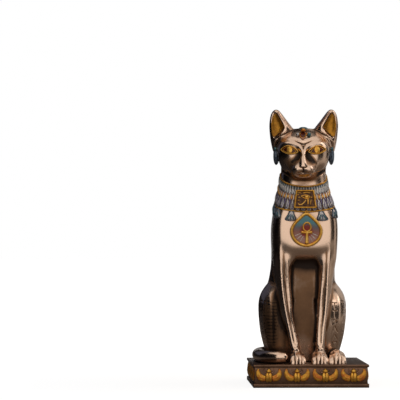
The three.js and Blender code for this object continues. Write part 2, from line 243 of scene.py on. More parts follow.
casting = bmesh.new()
add(casting, limb([[z, -half, half, *rest] for z, half, *rest in TORSO], square=squareness, rows=150))
print("trunk:", len(casting.faces), "faces")

# %% Thighs, forelegs and belly
HAUNCH = [
    # height, inner side, outer side, front, back
    [-1, 3.2, 13, -9.5, 15.9],
    [2.1, 2.9, 14, -11.1, 17.5],
    [5.3, 2.6, 15.1, -12.4, 19],
    [10.6, 2.2, 16.5, -13.5, 20.1],
    [16.9, 2, 17.3, -13.8, 19.6],
    [22.2, 2, 17.5, -12.7, 18.5],
    [25.9, 2.2, 16.9, -10.3, 17.2],
    [28.6, 3, 15.5, -7.1, 15.6],
    [30.7, 4.2, 13.8, -3.7, 13.8],
    [32.3, 6, 11.9, 0, 11.1],
]
FORELEG = [
    # height, inner side, outer side, front, back, drift
    [-1, 2.3, 7, -20.8, -14.8, 0.6],
    [4.2, 2.8, 6.8, -19.8, -14.8, 0.45],
    [7.4, 3.4, 6.9, -18.9, -14.6, 0.25],
    [13.2, 4.2, 7.7, -17.8, -13.1, -0.25],
    [19.6, 5, 9.4, -16.7, -10.8, -0.6],
    [25.4, 4.9, 10.4, -16, -7.9, -0.65],
    [30.7, 4.9, 11.2, -15.6, -3.7, -0.6],
    [36, 4.8, 11.9, -15.4, 1.1, -0.4],
    [38.7, 4.3, 12.2, -15.35, 2.6, -0.3],
    [41.3, 3.2, 12.5, -15.3, 3.7, -0.2],
    [46.6, 2.6, 12.6, -14.9, 5.3, 0],
    [51, 2.8, 12.2, -13.9, 4.5, 0],
    [56, 3.6, 11, -12, 3.5, 0],
    [61, 4.6, 8.6, -8, 2, 0],
]
BELLY = [
    # height, left side, right side, front, back, drift
    [-1, -4.2, 3.9, -7.6, 0, 0],
    [8, -5, 4.6, -8.7, 0, 0],
    [14, -6.2, 5.6, -9.5, 0, 0],
    [24, -6.8, 5.9, -10.7, 0, 0],
    [34, -6.8, 5.9, -11.8, 0, 0],
    [39, -6.5, 5.6, -12.2, 0, 0],
    [41, -6, 5, -11.8, 0, 0],
    [44, -5, 4, -9, 0, 0],
]
BELLY_SQUARENESS, THIGH_DRIFT = 5, -0.5


def leg_squareness(height):
    """A foreleg is round at its foot and squares off where it runs into the chest."""
    return np.interp(height, [32, 38, 46, 60], [2.2, 2.8, 5, 5])


add(casting, limb(BELLY, square=BELLY_SQUARENESS, rows=60))
for side in (-1, 1):
    add(casting, limb([[*section, THIGH_DRIFT] for section in HAUNCH], side))
    add(casting, limb(FORELEG, side, rows=120, square=leg_squareness))
print("big forms:", len(casting.faces), "faces")

# %% [markdown]
# The paws are what the eye goes to at the foot of the figure. Each is a low mound with four long
# toes in front. The toes are overlapping balls and bars, so that the grooves between them come by
# themselves when the forms are fused.


# %% Paws and tail
def paw(centre, tip, heel, spread, height, toe_radius):
    """A mound with four toes that run together at the ankle; spread is the step between two toes."""
    add(casting, ball([centre, (tip + heel) / 2 + 2, 0], [spread * 2, (heel - tip) / 2 - 2.2, height]))
    for toe in (-1.5, -0.5, 0.5, 1.5):
        x, back, rise = centre + toe * spread, abs(toe) * 0.8, height * (1.04 - 0.14 * abs(toe))
        lobe = [
            [x, tip + 0.8 + back, -1],
            [x, tip + 0.9 + back, rise * 0.12],
            [x - toe * 0.04, tip + 1.7 + back, rise * 0.36],
            [x - toe * 0.12, tip + 3.1 + back, rise * 0.6],
            [x - toe * 0.3, tip + 5 + back, rise * 0.8],
            [x - toe * 0.6, tip + 7.6, rise * 0.93],
        ]
        thickness = [toe_radius * s for s in (1.03, 1.05, 1.05, 1, 0.92, 0.75)]
        add(casting, bar(lobe, thickness, rows=48, up=(1, 0, 0)))


# For each side: centre, tip, heel, spread, height, toe radius; the forepaw and then the hind paw
PAWS = {
    -1: [(-3.7, -24.3, -13, 1.5, 5.2, 0.95), (-11.8, -15.5, -6, 1.5, 4.2, 0.9)],
    1: [(4.8, -24.3, -13, 1.55, 5.2, 0.98), (11.8, -23.5, -7, 1.62, 5.4, 1.03)],
}
for side in (-1, 1):
    for place in PAWS[side]:
        paw(*place)

TAIL_RADIUS = 2.55
TAIL_PATH = [
    [6, 17], [0, 20.4], [-7.4, 20.9], [-13.8, 17.5], [-17.2, 9],
    [-17.9, 0], [-17.6, -8.5], [-15.7, -15.9], [-11.8, -19.9], [-9.4, -20.6],
]
add(casting, bar(
    [[x, y, TAIL_RADIUS - 0.1] for x, y in TAIL_PATH],
    [2.8, 2.8, 2.8, 2.7, 2.65, 2.6, TAIL_RADIUS, TAIL_RADIUS, 2.5, 2.2], sides=40, rows=160,
))
add(casting, ball([-9.6, -20.6, TAIL_RADIUS - 0.1], [2.1, 2.1, 2.2]))
print("with paws and tail:", len(casting.faces), "faces")

# %% [markdown]
# ## The head
# The skull is a rounded wedge. The muzzle, the two whisker pads, the chin and the ridge of the nose
# are added as separate lumps.

# %% Skull and muzzle
SKULL = [
    # height, half width, front, back
    [72.3, 3.4, -14.4, -6],
    [74, 6.1, -15.9, -2.5],
    [76.2, 8.2, -16.8, 0.5],
    [78.3, 9.5, -17.2, 2.6],
    [81, 10.3, -17.2, 4.2],
    [83.6, 10.5, -16.9, 5],
    [86.2, 10.2, -15.7, 4.8],
    [88.9, 8.9, -13.2, 3.4],
    [91, 6.5, -10.1, 1.3],
    [92.4, 3.2, -6.9, -1.6],
]
FACE_LUMPS = {
    "muzzle": ([0, -16.6, 76.7], [5, 4.6, 4]),
    "lower jaw": ([0, -17.2, 74.4], [4.5, 3.2, 1.9]),
    "chin": ([0, -19, 74], [1.7, 1.3, 1]),
    "nose": ([0, -21.2, 77.1], [1.6, 1.1, 0.9]),
    "left pad": ([-2.1, -19.5, 75.7], [2.5, 2.5, 2.1]),
    "right pad": ([2.1, -19.5, 75.7], [2.5, 2.5, 2.1]),
}
NOSE_RIDGE = [[0, -15.6, 85.4], [0, -18.4, 81.6], [0, -20.8, 77.6]]


def skull_squareness(height):
    """The skull is boxier through the cheeks than at the chin or the crown."""
    return np.interp(height, [72, 77, 85, 90], [2.2, 2.9, 2.9, 2.2])


add(casting, limb([[z, -half, half, front, back, 0] for z, half, front, back in SKULL],
                  to=on_head, square=skull_squareness))
for centre, radii in FACE_LUMPS.values():
    add(casting, ball(centre, radii, to=on_head))
add(casting, bar(NOSE_RIDGE, [1.5, 1.05, 1.3], to=on_head, up=(1, 0, 0)))
print("with skull and muzzle:", len(casting.faces), "faces")

# %% [markdown]
# The ears are tall cups: a solid ear with a hollow cut from its front, which is quicker to get right
# than a bent sheet.

# %% Ears
EAR = [
    # height, inner side, outer side, front, back
    [82.5, 9.8, 12.1, -6.9, -1.5],
    [85.2, 7.9, 12.7, -8.2, -0.4],
    [87.8, 5.8, 13.2, -9.2, 0.2],
    [90.5, 4.2, 13.5, -9.6, 0.2],
    [92.6, 4.4, 13.65, -9.5, -0.2],
    [94.2, 5.6, 13.65, -9.2, -0.8],
    [96.3, 7.2, 13.4, -8.6, -1.7],
    [98.1, 8.5, 13, -7.9, -2.6],
    [99.3, 9.5, 12.2, -7.2, -3.6],
    [100, 10.4, 11.4, -6.4, -4.6],
]
EAR_HOLLOW = [
    # height, inner side, outer side, front, back
    [87.4, 11.1, 12.5, -13, -8.2],
    [88.6, 10.2, 12.9, -13, -7.8],
    [90.4, 8.9, 13.1, -13, -7.3],
    [92.6, 7.5, 13.2, -13, -6.9],
    [94.4, 8.2, 13.2, -13, -6.6],
    [96.3, 9.2, 13, -12, -6.4],
    [97.9, 10.3, 12.5, -11, -6.4],
    [98.8, 10.9, 12, -10, -6.6],
]


def as_object(name, shape):
    """A shape as an object of the scene, for modifiers to work on."""
    mesh = bpy.data.meshes.new(name)
    outward(shape).to_mesh(mesh)
    shape.free()
    thing = bpy.data.objects.new(name, mesh)
    bpy.context.scene.collection.objects.link(thing)
    return thing


def settled(thing):
    """The object's mesh with its modifiers worked in; the object itself goes."""
    bpy.context.view_layer.update()
    mesh = bpy.data.meshes.new_from_object(thing.evaluated_get(bpy.context.evaluated_depsgraph_get()))
    bpy.data.objects.remove(thing)
    return mesh


for side in (-1, 1):
    ear = as_object("ear", limb([[*section, 0] for section in EAR], side, to=on_head))
    hollow = as_object("hollow", limb([[*section, 0] for section in EAR_HOLLOW], side, to=on_head))
    cut = ear.modifiers.new("hollow", "BOOLEAN")
    cut.object, cut.operation = hollow, "DIFFERENCE"
    casting.from_mesh(settled(ear))
    bpy.data.objects.remove(hollow)
print("with the head:", len(casting.faces), "faces")

# %% [markdown]
# ## One skin
# The overlapping lumps are fused by a voxel remesh, which wraps one even net of small squares
# round all of them. A boolean union would keep every hard line where two lumps cross, but a
# casting has soft fillets there, and they come from smoothing the even net. The paws and the face
# are smoothed less than the body, so that toes and muzzle stay crisp.

# %% Fusing the lumps
VOXEL = 0.45 * MM
FILLET_ROUNDS, EASE = 90, 0.6
# For each height, how far the smoothing may go
SOFTNESS = [[0, 0.14], [6, 0.14], [9, 1], [70, 1], [76, 0.7], [84, 0.7], [87, 0.5], [90, 0.35], [100, 0.3]]
lumps = as_object("lumps", casting)
wrap = lumps.modifiers.new("wrap", "REMESH")
wrap.mode, wrap.voxel_size = "VOXEL", VOXEL
skin = settled(lumps)


def read_skin(mesh):
    """The mesh's points, their normals and its edges."""
    points = np.zeros(len(mesh.vertices) * 3)
    normals = np.zeros(len(mesh.vertices) * 3)
    mesh.vertices.foreach_get("co", points)
    mesh.vertex_normals.foreach_get("vector", normals)
    edges = np.zeros(len(mesh.edges) * 2, int)
    mesh.edges.foreach_get("vertices", edges)
    return points.reshape(-1, 3), normals.reshape(-1, 3), edges.reshape(-1, 2)


def relaxed(values, edges, rounds, hold=None):
    """Averages each point's values with its neighbours', rounds times."""
    count = len(values)
    ends = np.concatenate([edges[:, 0], edges[:, 1]])
    others = np.concatenate([edges[:, 1], edges[:, 0]])
    degree = np.maximum(np.bincount(ends, minlength=count), 1)[:, None]
    for _ in range(rounds):
        mean = np.stack([np.bincount(ends, column[others], count) for column in values.T], axis=1) / degree
        step = (mean - values) * EASE
        values = values + (step if hold is None else step * hold)
    return values


points, normals, edges = read_skin(skin)
height = (points[:, 2] - SEAT) / UNIT
softness = np.interp(height, *np.array(SOFTNESS).T)[:, None]
points = relaxed(points, edges, FILLET_ROUNDS, softness)
print("fused skin:", len(points), "points")

# %% [markdown]
# ## Carving
# Lines and hollows are pressed into the skin, or raised from it, along a path seen from the front
# or from one side, with a soft edge. It is what a sculpting brush does, written down. Points are
# moved along their own normals, so the net stays whole.


# %% A brush
FACING_LEAST = 0.15  # a stroke leaves skin alone that is nearly edge-on to its view


def local_places():
    """Every skin point in hundredths of the cat's height, and the same on the unturned head."""
    x = (points[:, 0] - CAT_X) / UNIT
    y = points[:, 1] / UNIT
    c, s = math.cos(-HEAD_TURN), math.sin(-HEAD_TURN)
    return np.stack([x, y, height], 1), np.stack([c * x - s * y, s * x + c * y, height], 1)


def away_from(path, flat_places):
    """Distance of flat places from a path, and how far along the path the nearest point is."""
    best = np.full(len(flat_places), 1e9)
    share = np.zeros(len(flat_places))
    path = np.array(path, float)
    for i, (a, b) in enumerate(zip(path[:-1], path[1:])):
        step = b - a
        t = np.clip(((flat_places - a) @ step) / max(step @ step, 1e-12), 0, 1)
        distance = np.linalg.norm(flat_places - a - t[:, None] * step, axis=1)
        nearer = distance < best
        best[nearer], share[nearer] = distance[nearer], (i + t[nearer]) / (len(path) - 1)
    return best, share


class Brush:
    """Moves skin points by a depth along a path; positive depths press in."""

    def __init__(self):
        self.body, self.head = local_places()
        self.shift = np.zeros(len(points))

    def stroke(self, path, width, depth, view="front", to=on_cat, where=None, steps=24):
        """Adds one stroke: smooth through its points, or straight between them if steps is 0."""
        places = self.head if to is on_head else self.body
        axes, facing = {"front": ([0, 2], -normals[:, 1]), "left": ([1, 2], -normals[:, 0]),
                        "right": ([1, 2], normals[:, 0])}[view]
        path = smooth(path)(np.linspace(0, 1, steps)).T if steps else np.array(path, float)
        flat = places[:, axes]
        near = np.all((flat > path.min(0) - 3 * width) & (flat < path.max(0) + 3 * width), axis=1)
        near &= facing > FACING_LEAST
        if where is not None:
            near &= where(*places.T)
        chosen = np.flatnonzero(near)
        distance, share = away_from(path, flat[chosen])
        if not np.isscalar(depth):
            depth = np.interp(share, np.linspace(0, 1, len(depth)), depth)
        self.shift[chosen] += depth * np.exp(-(distance / width) ** 2)

    def finish(self):
        """Moves the points by what the strokes add up to, and smooths the net once."""
        global points, normals
        points = points - normals * self.shift[:, None] * UNIT
        skin.vertices.foreach_set("co", points.ravel())
        skin.update()
        points, normals, _ = read_skin(skin)
        points = relaxed(points, edges, 1, softness)


skin.vertices.foreach_set("co", points.ravel())
skin.update()
points, normals, edges = read_skin(skin)

# %% [markdown]
# The forelegs carry two raised ridges each, with a channel between them, that meet in a U above the
# paw. A crease runs up behind each shoulder, and the thighs carry a column of shallow signs, which
# are made here as plain strokes that spell nothing.

# %% Carving the body
brush = Brush()
# For each side, the outer and the inner ridge of its foreleg
LEG_RIDGES = {
    -1: (
        [[-10.3, 47], [-10.2, 42.5], [-9.9, 35], [-9.1, 27], [-8, 20], [-6.65, 13.3], [-5.7, 8], [-4.9, 5.4]],
        [[-8, 43], [-7.6, 39.2], [-7.3, 34], [-6.7, 27], [-5.7, 20], [-4.67, 13.3], [-4, 8], [-4.7, 5.4]],
    ),
    1: (
        [[9.3, 47], [9, 42.5], [8.4, 35], [8, 27], [7.4, 20], [6.7, 13.3], [6, 8], [5.2, 5.4]],
        [[7.1, 43], [6.9, 39.2], [6.5, 34], [5.9, 27], [5.2, 20], [4.55, 13.3], [4.3, 8], [5, 5.4]],
    ),
}
BELLY_EDGE = {
    -1: [[-5.2, 38], [-5.4, 30], [-5.5, 24], [-5.2, 18], [-4.5, 13], [-3.5, 8]],
    1: [[4.4, 38], [4.2, 30], [4.15, 24], [4.2, 18], [3.9, 13], [3.6, 8]],
}
SHOULDER_CREASE = [[4.6, 50], [3.4, 43], [1.4, 37], [-2, 32]]
THIGH_CREASE = [[-11.2, 7], [-12.6, 13], [-12.4, 20], [-9.5, 26], [-4.5, 29.6], [3, 31.5], [10, 30]]


def before(plane):
    """Keeps a stroke to what lies in front of an upright plane."""
    return lambda x, y, z: y < plane


for side, (outer, inner) in LEG_RIDGES.items():
    for path in (outer, inner):
        brush.stroke(path, 0.72, [0, -0.4, -0.55, -0.55, -0.5, -0.35], where=before(-9))
    channel = [[(a[0] + b[0]) / 2, (a[1] + b[1]) / 2] for a, b in zip(outer, inner)]
    brush.stroke(channel, 0.7, [0, 0.25, 0.4, 0.4, 0.35, 0.1], where=before(-9))
brush.finish()
print("legs carved")

# %% Columns of signs
SIGNS_FOOT, SIGNS_GAP = 7.5, 0.9


def signs(column, top, view, where):
    """A column of shallow marks that spell nothing, down to the foot of the thigh."""
    z = top
    while z > SIGNS_FOOT:
        tall, wide = draw.uniform(1.7, 2.5), draw.uniform(1.5, 2.3)
        left, right, low = column - wide / 2, column + wide / 2, z - tall
        marks = [
            [[[left, z], [right, z]], [[column, z], [column, low]]],
            [[[left, z], [left, low]], [[left, z], [right, z]], [[right, z], [right, low]]],
            [[[left, low], [column, z], [right, low]]],
            [[[left, z], [right, z - tall * 0.4]], [[left, z - tall * 0.5], [right, low]]],
            [[[left, low], [left, z], [right, z - tall / 2], [left, low]]],
        ][draw.randrange(5)]
        for mark in marks:
            brush.stroke(mark, 0.14, 0.2, view, where=where, steps=0)
        z -= tall + SIGNS_GAP


# %% Creases, signs and nicks
brush = Brush()
for side, view in ((-1, "left"), (1, "right")):
    brush.stroke(SHOULDER_CREASE, 0.45, [0, 0.32, 0.36, 0.2], view)
    brush.stroke(BELLY_EDGE[side], 0.55, [0.3, 0.85, 0.85, 0.55],
                 where=lambda x, y, z: (y > -13.6) & (y < -5))
    brush.stroke(THIGH_CREASE, 0.6, [0.1, 0.3, 0.35, 0.35, 0.3, 0.2, 0], view)
    for column in (-7.6, -4):
        signs(column, 24, view, lambda x, y, z: abs(x) > 12)
signs(11.5, 23.6, "front", lambda x, y, z: (x > 9.3) & (y < -4))
for row in range(13):
    z, slant, cut = 23.6 - row * 1.3, draw.uniform(-0.25, 0.25), draw.uniform(-0.5, 0.5)
    nick = [[-15.2 + cut, z], [-13.4, z + slant], [-11.6 + cut, z - slant / 2]]
    brush.stroke(nick, 0.13, 0.09, where=before(-3))
for side in (-1, 1):
    ankle = [[side * 2, 6], [side * 4.6, 6.3], [side * 7.2, 6]]
    brush.stroke(ankle, 0.3, [0.1, 0.2, 0.1], where=before(-15))
    for ridge in LEG_RIDGES[side]:
        line = smooth(ridge)
        for share in np.linspace(0.3, 0.97, 26):
            x, z = line(share + draw.uniform(-0.01, 0.01))
            lean = draw.uniform(-0.3, 0.3)
            nick = [[x - 0.4, z - lean], [x + 0.4, z + lean]]
            brush.stroke(nick, 0.13, draw.uniform(0.05, 0.15), where=before(-12), steps=0)
    for centre, tip, _, spread, rise, _ in PAWS[side][:1 if side < 0 else 2]:
        for gap in (-1, 0, 1):
            x = centre + gap * spread
            groove = [[x, 0.2], [x, rise * 0.35], [x - gap * 0.1, rise * 0.65]]
            brush.stroke(groove, 0.26, [0.32, 0.3, 0.08], where=before(tip + 8))
brush.finish()
print("thighs and paws carved")

# %% [markdown]
# The face is a few strong hollows between sharp ridges: eye sockets under arched brows that run
# down into the nose, a groove under the forehead, and the split lip below a small square nose.

# %% Carving the face
brush = Brush()
FACE_FRONT = before(-8)


def crease(path, width, depth, where=FACE_FRONT, steps=24):
    """A stroke on the turned head."""
    brush.stroke(path, width, depth, to=on_head, where=where, steps=steps)


BROW = ((0.5, 82.2), (1.15, 84), (2.5, 85.4), (4.6, 86.2), (7, 86.3), (8.8, 85.4))
FOLD = ((4.6, 91.6), (7.4, 90.2), (9.9, 88.7), (11.3, 86.2), (11.4, 84.6))
for side in (-1, 1):
    socket = [[side * 2.6, 83], [side * 5.5, 84], [side * 8.4, 84.4]]
    brow = [[side * x, z] for x, z in BROW]
    groove = [[side * 0.3, 85.9], [side * 1.8, 86.5], [side * 3.6, 87.3]]
    cheek = [[side * 1.8, 82.2], [side * 2.6, 80.4], [side * 3.7, 78.8]]
    fold = [[side * x, z] for x, z in FOLD]
    ridge = [[side * 0.45, 82.6], [side * 0.45, 80], [side * 0.5, 78.4]]
    crease(socket, 1.5, [0.2, 0.1, 0.05])
    crease(brow, 0.85, [-0.25, -0.4, -0.42, -0.35, -0.25, 0])
    crease(groove, 0.32, [0.28, 0.26, 0])
    crease(cheek, 1.2, [0.35, 0.55, 0.35])
    crease(fold, 0.36, [0.1, 0.3, 0.35, 0.4, 0.2], where=None)
    crease(ridge, 0.5, [-0.12, -0.3, -0.2])
notch, notch_foot = [[-0.8, 85.4], [0.8, 85.4]], [[0, 85.2], [0, 84.4], [0, 83.4]]
roll = [[-4.6, 89], [-2.3, 87.8], [0, 87.3], [2.3, 87.8], [4.6, 89]]
lip, mouth = [[0, 76.4], [0, 74.6]], [[-3.8, 75.2], [-2.2, 74.2], [0, 74.8], [2.2, 74.2], [3.8, 75.2]]
crease(notch, 0.6, 0.26, steps=0)
crease(notch_foot, 0.7, [0.3, 0.4, 0.1])
crease(roll, 0.85, [-0.05, -0.4, -0.5, -0.4, -0.05])
crease(lip, 0.24, 0.45)
crease(mouth, 0.3, [0, 0.3, 0.35, 0.3, 0])
for side in (-1, 1):
    nostril = [[side * 1.5, 77.1], [side * 1.1, 76.6], [side * 0.4, 76.4]]
    jaw = [[side * 9.6, 77.2], [side * 8.2, 75.5], [side * 6, 74.2], [side * 3.4, 73.4]]
    crease(nostril, 0.24, 0.28)
    crease(jaw, 0.6, [0.5, 0.6, 0.5, 0.1], where=lambda x, y, z: y > -14.5)
    for row in range(3):
        for spot in range(3):
            x, z = side * (2 + spot * 0.8), 76.9 - row * 0.7 - spot * 0.1
            crease([[x, z], [x + 0.05, z]], 0.2, 0.07, steps=0)
brush.finish()
print("face carved")

# %% [markdown]
# ## Where the bronze is rubbed, where it is dark, and where shade is painted
# The finisher wipes dark patina off the high places, so it stays in the hollows. How hollow a point
# is can be measured: it is how far it lies below the average of the skin round it. Painted shade is
# added to that number where shade falls, under the chest and the jaw, between the legs and in the
# notch between the brows, and where the light leaves the cat dark, on its cheeks and the front of its
# left thigh. The sum goes with the mesh as an attribute, for the material to read. Afterwards the
# net is thinned where it is flat.

# %% Measuring hollows and painting shade
CALM_ROUNDS, BROAD_ROUNDS = 10, 90
REST, FINE_SHARE, BROAD_SHARE = 0.45, 2.2, 0.45
calm = relaxed(points, edges, CALM_ROUNDS)
broad = relaxed(points, edges, BROAD_ROUNDS)
fine_hollow = np.sum((calm - points) * normals, axis=1) / MM
broad_hollow = np.sum((broad - points) * normals, axis=1) / MM
body_places, head_places = local_places()


def shade_patch(places, at, reach, middle, half, front, back, amount):
    """Painted shade round a height, within a half width of a middle, between two upright planes."""
    x, y, _ = places.T
    between = np.clip((y - front) / 1.2, 0, 1) * np.clip((back - y) / 1.2, 0, 1)
    return amount * np.exp(-((height - at) / reach) ** 2 - ((x - middle) / half) ** 4) * between


# Painted shade: places where shade falls, and the cheeks and left thigh, which the light leaves dark
painted_shade = sum([
    shade_patch(body_places, 38.6, 3.2, 0, 5.8, -15.1, -4, 0.5),  # under the chest
    shade_patch(body_places, 75, 1.8, 0, 14, -13.4, 90, 0.3),  # under the jaw
    shade_patch(body_places, 22, 16, 0, 4.9, -13.6, -7, 0.26),  # the belly between the legs
    shade_patch(body_places, 14, 14, -12, 6.5, -15.2, -6, 0.55),  # the front of the left thigh
    shade_patch(head_places, 84.8, 1.1, 0, 1, -25, -12, 0.4),  # the notch between the brows
    shade_patch(head_places, 79, 2.4, 3, 2, -25, -12, 0.4),  # the right cheek, beside the nose
    shade_patch(head_places, 79, 3, -5.4, 3.6, -25, -12, 0.3),  # the whole left cheek
])
# The number for the material: patina by how hollow a point is, plus the painted shade
hollow = np.clip(REST + FINE_SHARE * fine_hollow + BROAD_SHARE * broad_hollow + painted_shade, 0, 1)
print("hollows from", round(hollow.min(), 2), "to", round(hollow.max(), 2))

# %% Thinning the net and cutting the foot flat
TRIANGLES = 188000
skin.vertices.foreach_set("co", points.ravel())
attribute = skin.attributes.new("hollow", "FLOAT", "POINT")
attribute.data.foreach_set("value", hollow)
skin.update()
cat = bpy.data.objects.new("cat_casting", skin)
bpy.context.scene.collection.objects.link(cat)
thin = cat.modifiers.new("thin", "DECIMATE")
thin.ratio = TRIANGLES / (2 * len(skin.polygons))
cat_mesh = settled(cat)
flat_cut = bmesh.new()
flat_cut.from_mesh(cat_mesh)
bmesh.ops.bisect_plane(
    flat_cut, geom=flat_cut.verts[:] + flat_cut.edges[:] + flat_cut.faces[:],
    plane_co=(0, 0, SEAT), plane_no=(0, 0, -1), clear_outer=True,
)
bmesh.ops.holes_fill(flat_cut, edges=[e for e in flat_cut.edges if e.is_boundary])
flat_cut.to_mesh(cat_mesh)
flat_cut.free()
print("the casting has", len(cat_mesh.polygons), "faces")

# %% [markdown]
# ## Finishes
# The casting is polyester resin filled with bronze powder, buffed and then washed with a dark
# stain. So it is a metal to the eye, pinkish and bright where it was buffed, and brown to black in
# the hollows, where the stain is also duller. One material does both, led by the hollow attribute,
# which also carries painted shade. The material paints more shade in recesses and in corners,
# which it finds by ambient occlusion.


# %% Colours and nodes
def paint(code):
    """An sRGB hex colour as the linear numbers that shaders take."""
    values = [int(code[i : i + 2], 16) / 255 for i in (1, 3, 5)]
    return [v / 12.92 if v <= 0.04045 else ((v + 0.055) / 1.055) ** 2.4 for v in values] + [1]


def give(made, inputs):
    """Sets inputs of a node. Each is a constant, or the output socket that it is linked to."""
    for name, value in inputs.items():
        if isinstance(value, bpy.types.NodeSocket):
            made.id_data.links.new(value, made.inputs[name])
        else:
            made.inputs[name].default_value = value


def node(tree, kind, inputs=None, settings=None):
    """Adds a shader node of a kind, with its settings and inputs."""
    made = tree.nodes.new("ShaderNode" + kind)
    for name, value in (settings or {}).items():
        setattr(made, name, value)
    give(made, inputs or {})
    return made


def new_material(name):
    """An empty material, its node tree and its Principled shader."""
    material = bpy.data.materials.new(name)
    material.use_nodes = True
    return material, material.node_tree, material.node_tree.nodes["Principled BSDF"]


def per_mm(size):
    """The noise scale that gives features of a size in millimetres."""
    return 1 / (size * MM)


# A Mix node that mixes colours takes its share in input 0 and its colours in 6 and 7, and gives output 2
OF_COLOURS = {"data_type": "RGBA"}


# %% Bronze-filled resin, buffed and stained, with painted shade
def bronze(name, rubbed, body, stain, shine, reads_patina_and_shade):
    """Metal where it was rubbed, duller and darker where the stain has stayed and where shade is painted."""
    material, tree, shader = new_material(name)
    place = node(tree, "TexCoord").outputs["Object"]
    # The stain dries in clouds about 9 mm across. The powder's grain is under 0.1 mm, too fine to show,
    # so it is drawn at 0.9 mm.
    mottle = node(tree, "TexNoise", {
        "Vector": place, "Scale": per_mm(9), "Detail": 5.0, "Roughness": 0.6}).outputs["Fac"]
    grain = node(tree, "TexNoise", {"Vector": place, "Scale": per_mm(0.9), "Detail": 3.0}).outputs["Fac"]
    if reads_patina_and_shade:
        # The hollow attribute holds the patina and the painted shade put on the skin
        depth = node(tree, "Attribute", settings={"attribute_name": "hollow"}).outputs["Fac"]
    else:
        depth = node(tree, "MapRange", {"Value": mottle, "To Min": 0.35, "To Max": 0.65}).outputs["Result"]
    wander = node(tree, "MapRange", {
        "Value": mottle, "From Min": 0.25, "From Max": 0.75, "To Min": -0.06, "To Max": 0.06,
    }).outputs["Result"]
    level = node(tree, "Math", {0: depth, 1: wander}, {"operation": "ADD"}).outputs[0]
    # Painted shade in recesses and then in corners, by how much sky a point sees: reach in millimetres, shut
    # and open sky, shade added, held to 1
    for reach, shut, clear, shade_added, held in ((14, 0.15, 0.6, 0.5, False), (1.6, 0.3, 0.75, 0.4, True)):
        sky = node(tree, "AmbientOcclusion", {"Distance": reach * MM}, {"samples": 6}).outputs["AO"]
        more = node(tree, "MapRange", {
            "Value": sky, "From Min": shut, "From Max": clear, "To Min": shade_added, "To Max": 0.0,
        }).outputs["Result"]
        level = node(tree, "Math", {0: level, 1: more}, {"operation": "ADD", "use_clamp": held}).outputs[0]
    ramp = node(tree, "ValToRGB", {"Fac": level})
    stops = ramp.color_ramp.elements
    stops[0].position, stops[0].color = 0.46, paint(rubbed)
    stops[1].position, stops[1].color = 0.95, paint(stain)
    stops.new(0.64).color = paint(body)
    metal = node(tree, "MapRange", {
        "Value": level, "From Min": 0.5, "From Max": 1.0, "To Min": 1.0, "To Max": 0.45}).outputs["Result"]
    rough = node(tree, "MapRange", {
        "Value": level, "From Min": 0.45, "From Max": 1.0, "To Min": shine, "To Max": shine + 0.35,
    }).outputs["Result"]
    bump = node(tree, "Bump", {"Height": grain, "Strength": 0.06, "Distance": 0.1 * MM}).outputs["Normal"]
    give(shader, {
        "Base Color": ramp.outputs["Color"], "Metallic": metal, "Roughness": rough, "Normal": bump})
    return material


# Name, rubbed, body and stain colours, roughness where it was rubbed, and whether the hollow attribute, with
# its patina and painted shade, leads it.
# The plinth was hardly buffed: it is darker, and its gleam is broader.
cast_bronze = bronze("bronze_resin_buffed_stained_and_shaded", "#EACDB8", "#A88264", "#2A1B13", 0.22, True)
plinth_bronze = bronze("bronze_resin_satin", "#7E6250", "#5A4231", "#1C110C", 0.3, False)


# %% Putting a finished piece into the figure
def piece(name, shape, material, sharp_from=None):
    """Makes a mesh from a shape, smooth-shaded, riding on the figure."""
    if isinstance(shape, bmesh.types.BMesh):
        mesh = bpy.data.meshes.new(name)
        shape.to_mesh(mesh)
        shape.free()
    else:
        mesh = shape
    mesh.shade_smooth()
    if sharp_from is not None:
        mesh.set_sharp_from_angle(angle=math.radians(sharp_from))
    thing = bpy.data.objects.new(name, mesh)
    bpy.context.scene.collection.objects.link(thing)
    mesh.materials.clear()
    mesh.materials.append(material)
    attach(thing, "root")
    mesh.calc_loop_triangles()
    print(name, "has", len(mesh.loop_triangles), "triangles")
    return thing


cat_piece = piece("cat_casting", cat_mesh, cast_bronze)
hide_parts("cat")

# %% [markdown]
# ## Jewellery in low relief
# The collar, the panel, the pendant and the eyes are cast with the cat and then painted. Here each
# colour is a mesh of its own that lies on the skin. A ray from outside finds the skin under every
# point, so a flat drawing of a jewel follows the chest by itself. Shrinkwrap modifiers could do
# that too, but not for points that stand at several heights above the skin.

# %% Finding the skin under a point
RAY_START, RAY_END, RAY_CIRCLE = 40, 10, 30
tree_shape = bmesh.new()
tree_shape.from_mesh(cat_mesh)
skin_tree = BVHTree.FromBMesh(tree_shape)
tree_shape.free()


def over_skin(starts, ends, out):
    """Points at a distance outside the skin, where rays from starts to ends first meet it."""
    outward_way = (starts - ends) / np.linalg.norm(starts - ends, axis=1)[:, None]
    found = []
    for start, end, way in zip(starts, ends, outward_way):
        hit = skin_tree.ray_cast(Vector(start), Vector(-way))[0]
        found.append(end if hit is None else hit)
    return (np.array(found) + out[:, None] * UNIT * outward_way).T


def on_face(x, out, z):
    """A place on the head as it is seen from the front, and how far out of the skin it stands."""
    x, out, z = np.broadcast_arrays(x, out, z)
    return over_skin(on_head(x, 0 * x - RAY_START, z).T, on_head(x, 0 * x + RAY_END, z).T, out)


def round_neck(angle, out, height):
    """A place round the neck: its angle about the middle of the neck, and how far out it stands."""
    angle, out, height = np.broadcast_arrays(angle, out, height)
    _, _, front, back, drift = torso_at(height)
    middle = (front + back) / 2
    starts = on_cat(drift + RAY_CIRCLE * np.cos(angle), middle + RAY_CIRCLE * np.sin(angle), height)
    return over_skin(starts.T, on_cat(drift, middle, height).T, out)


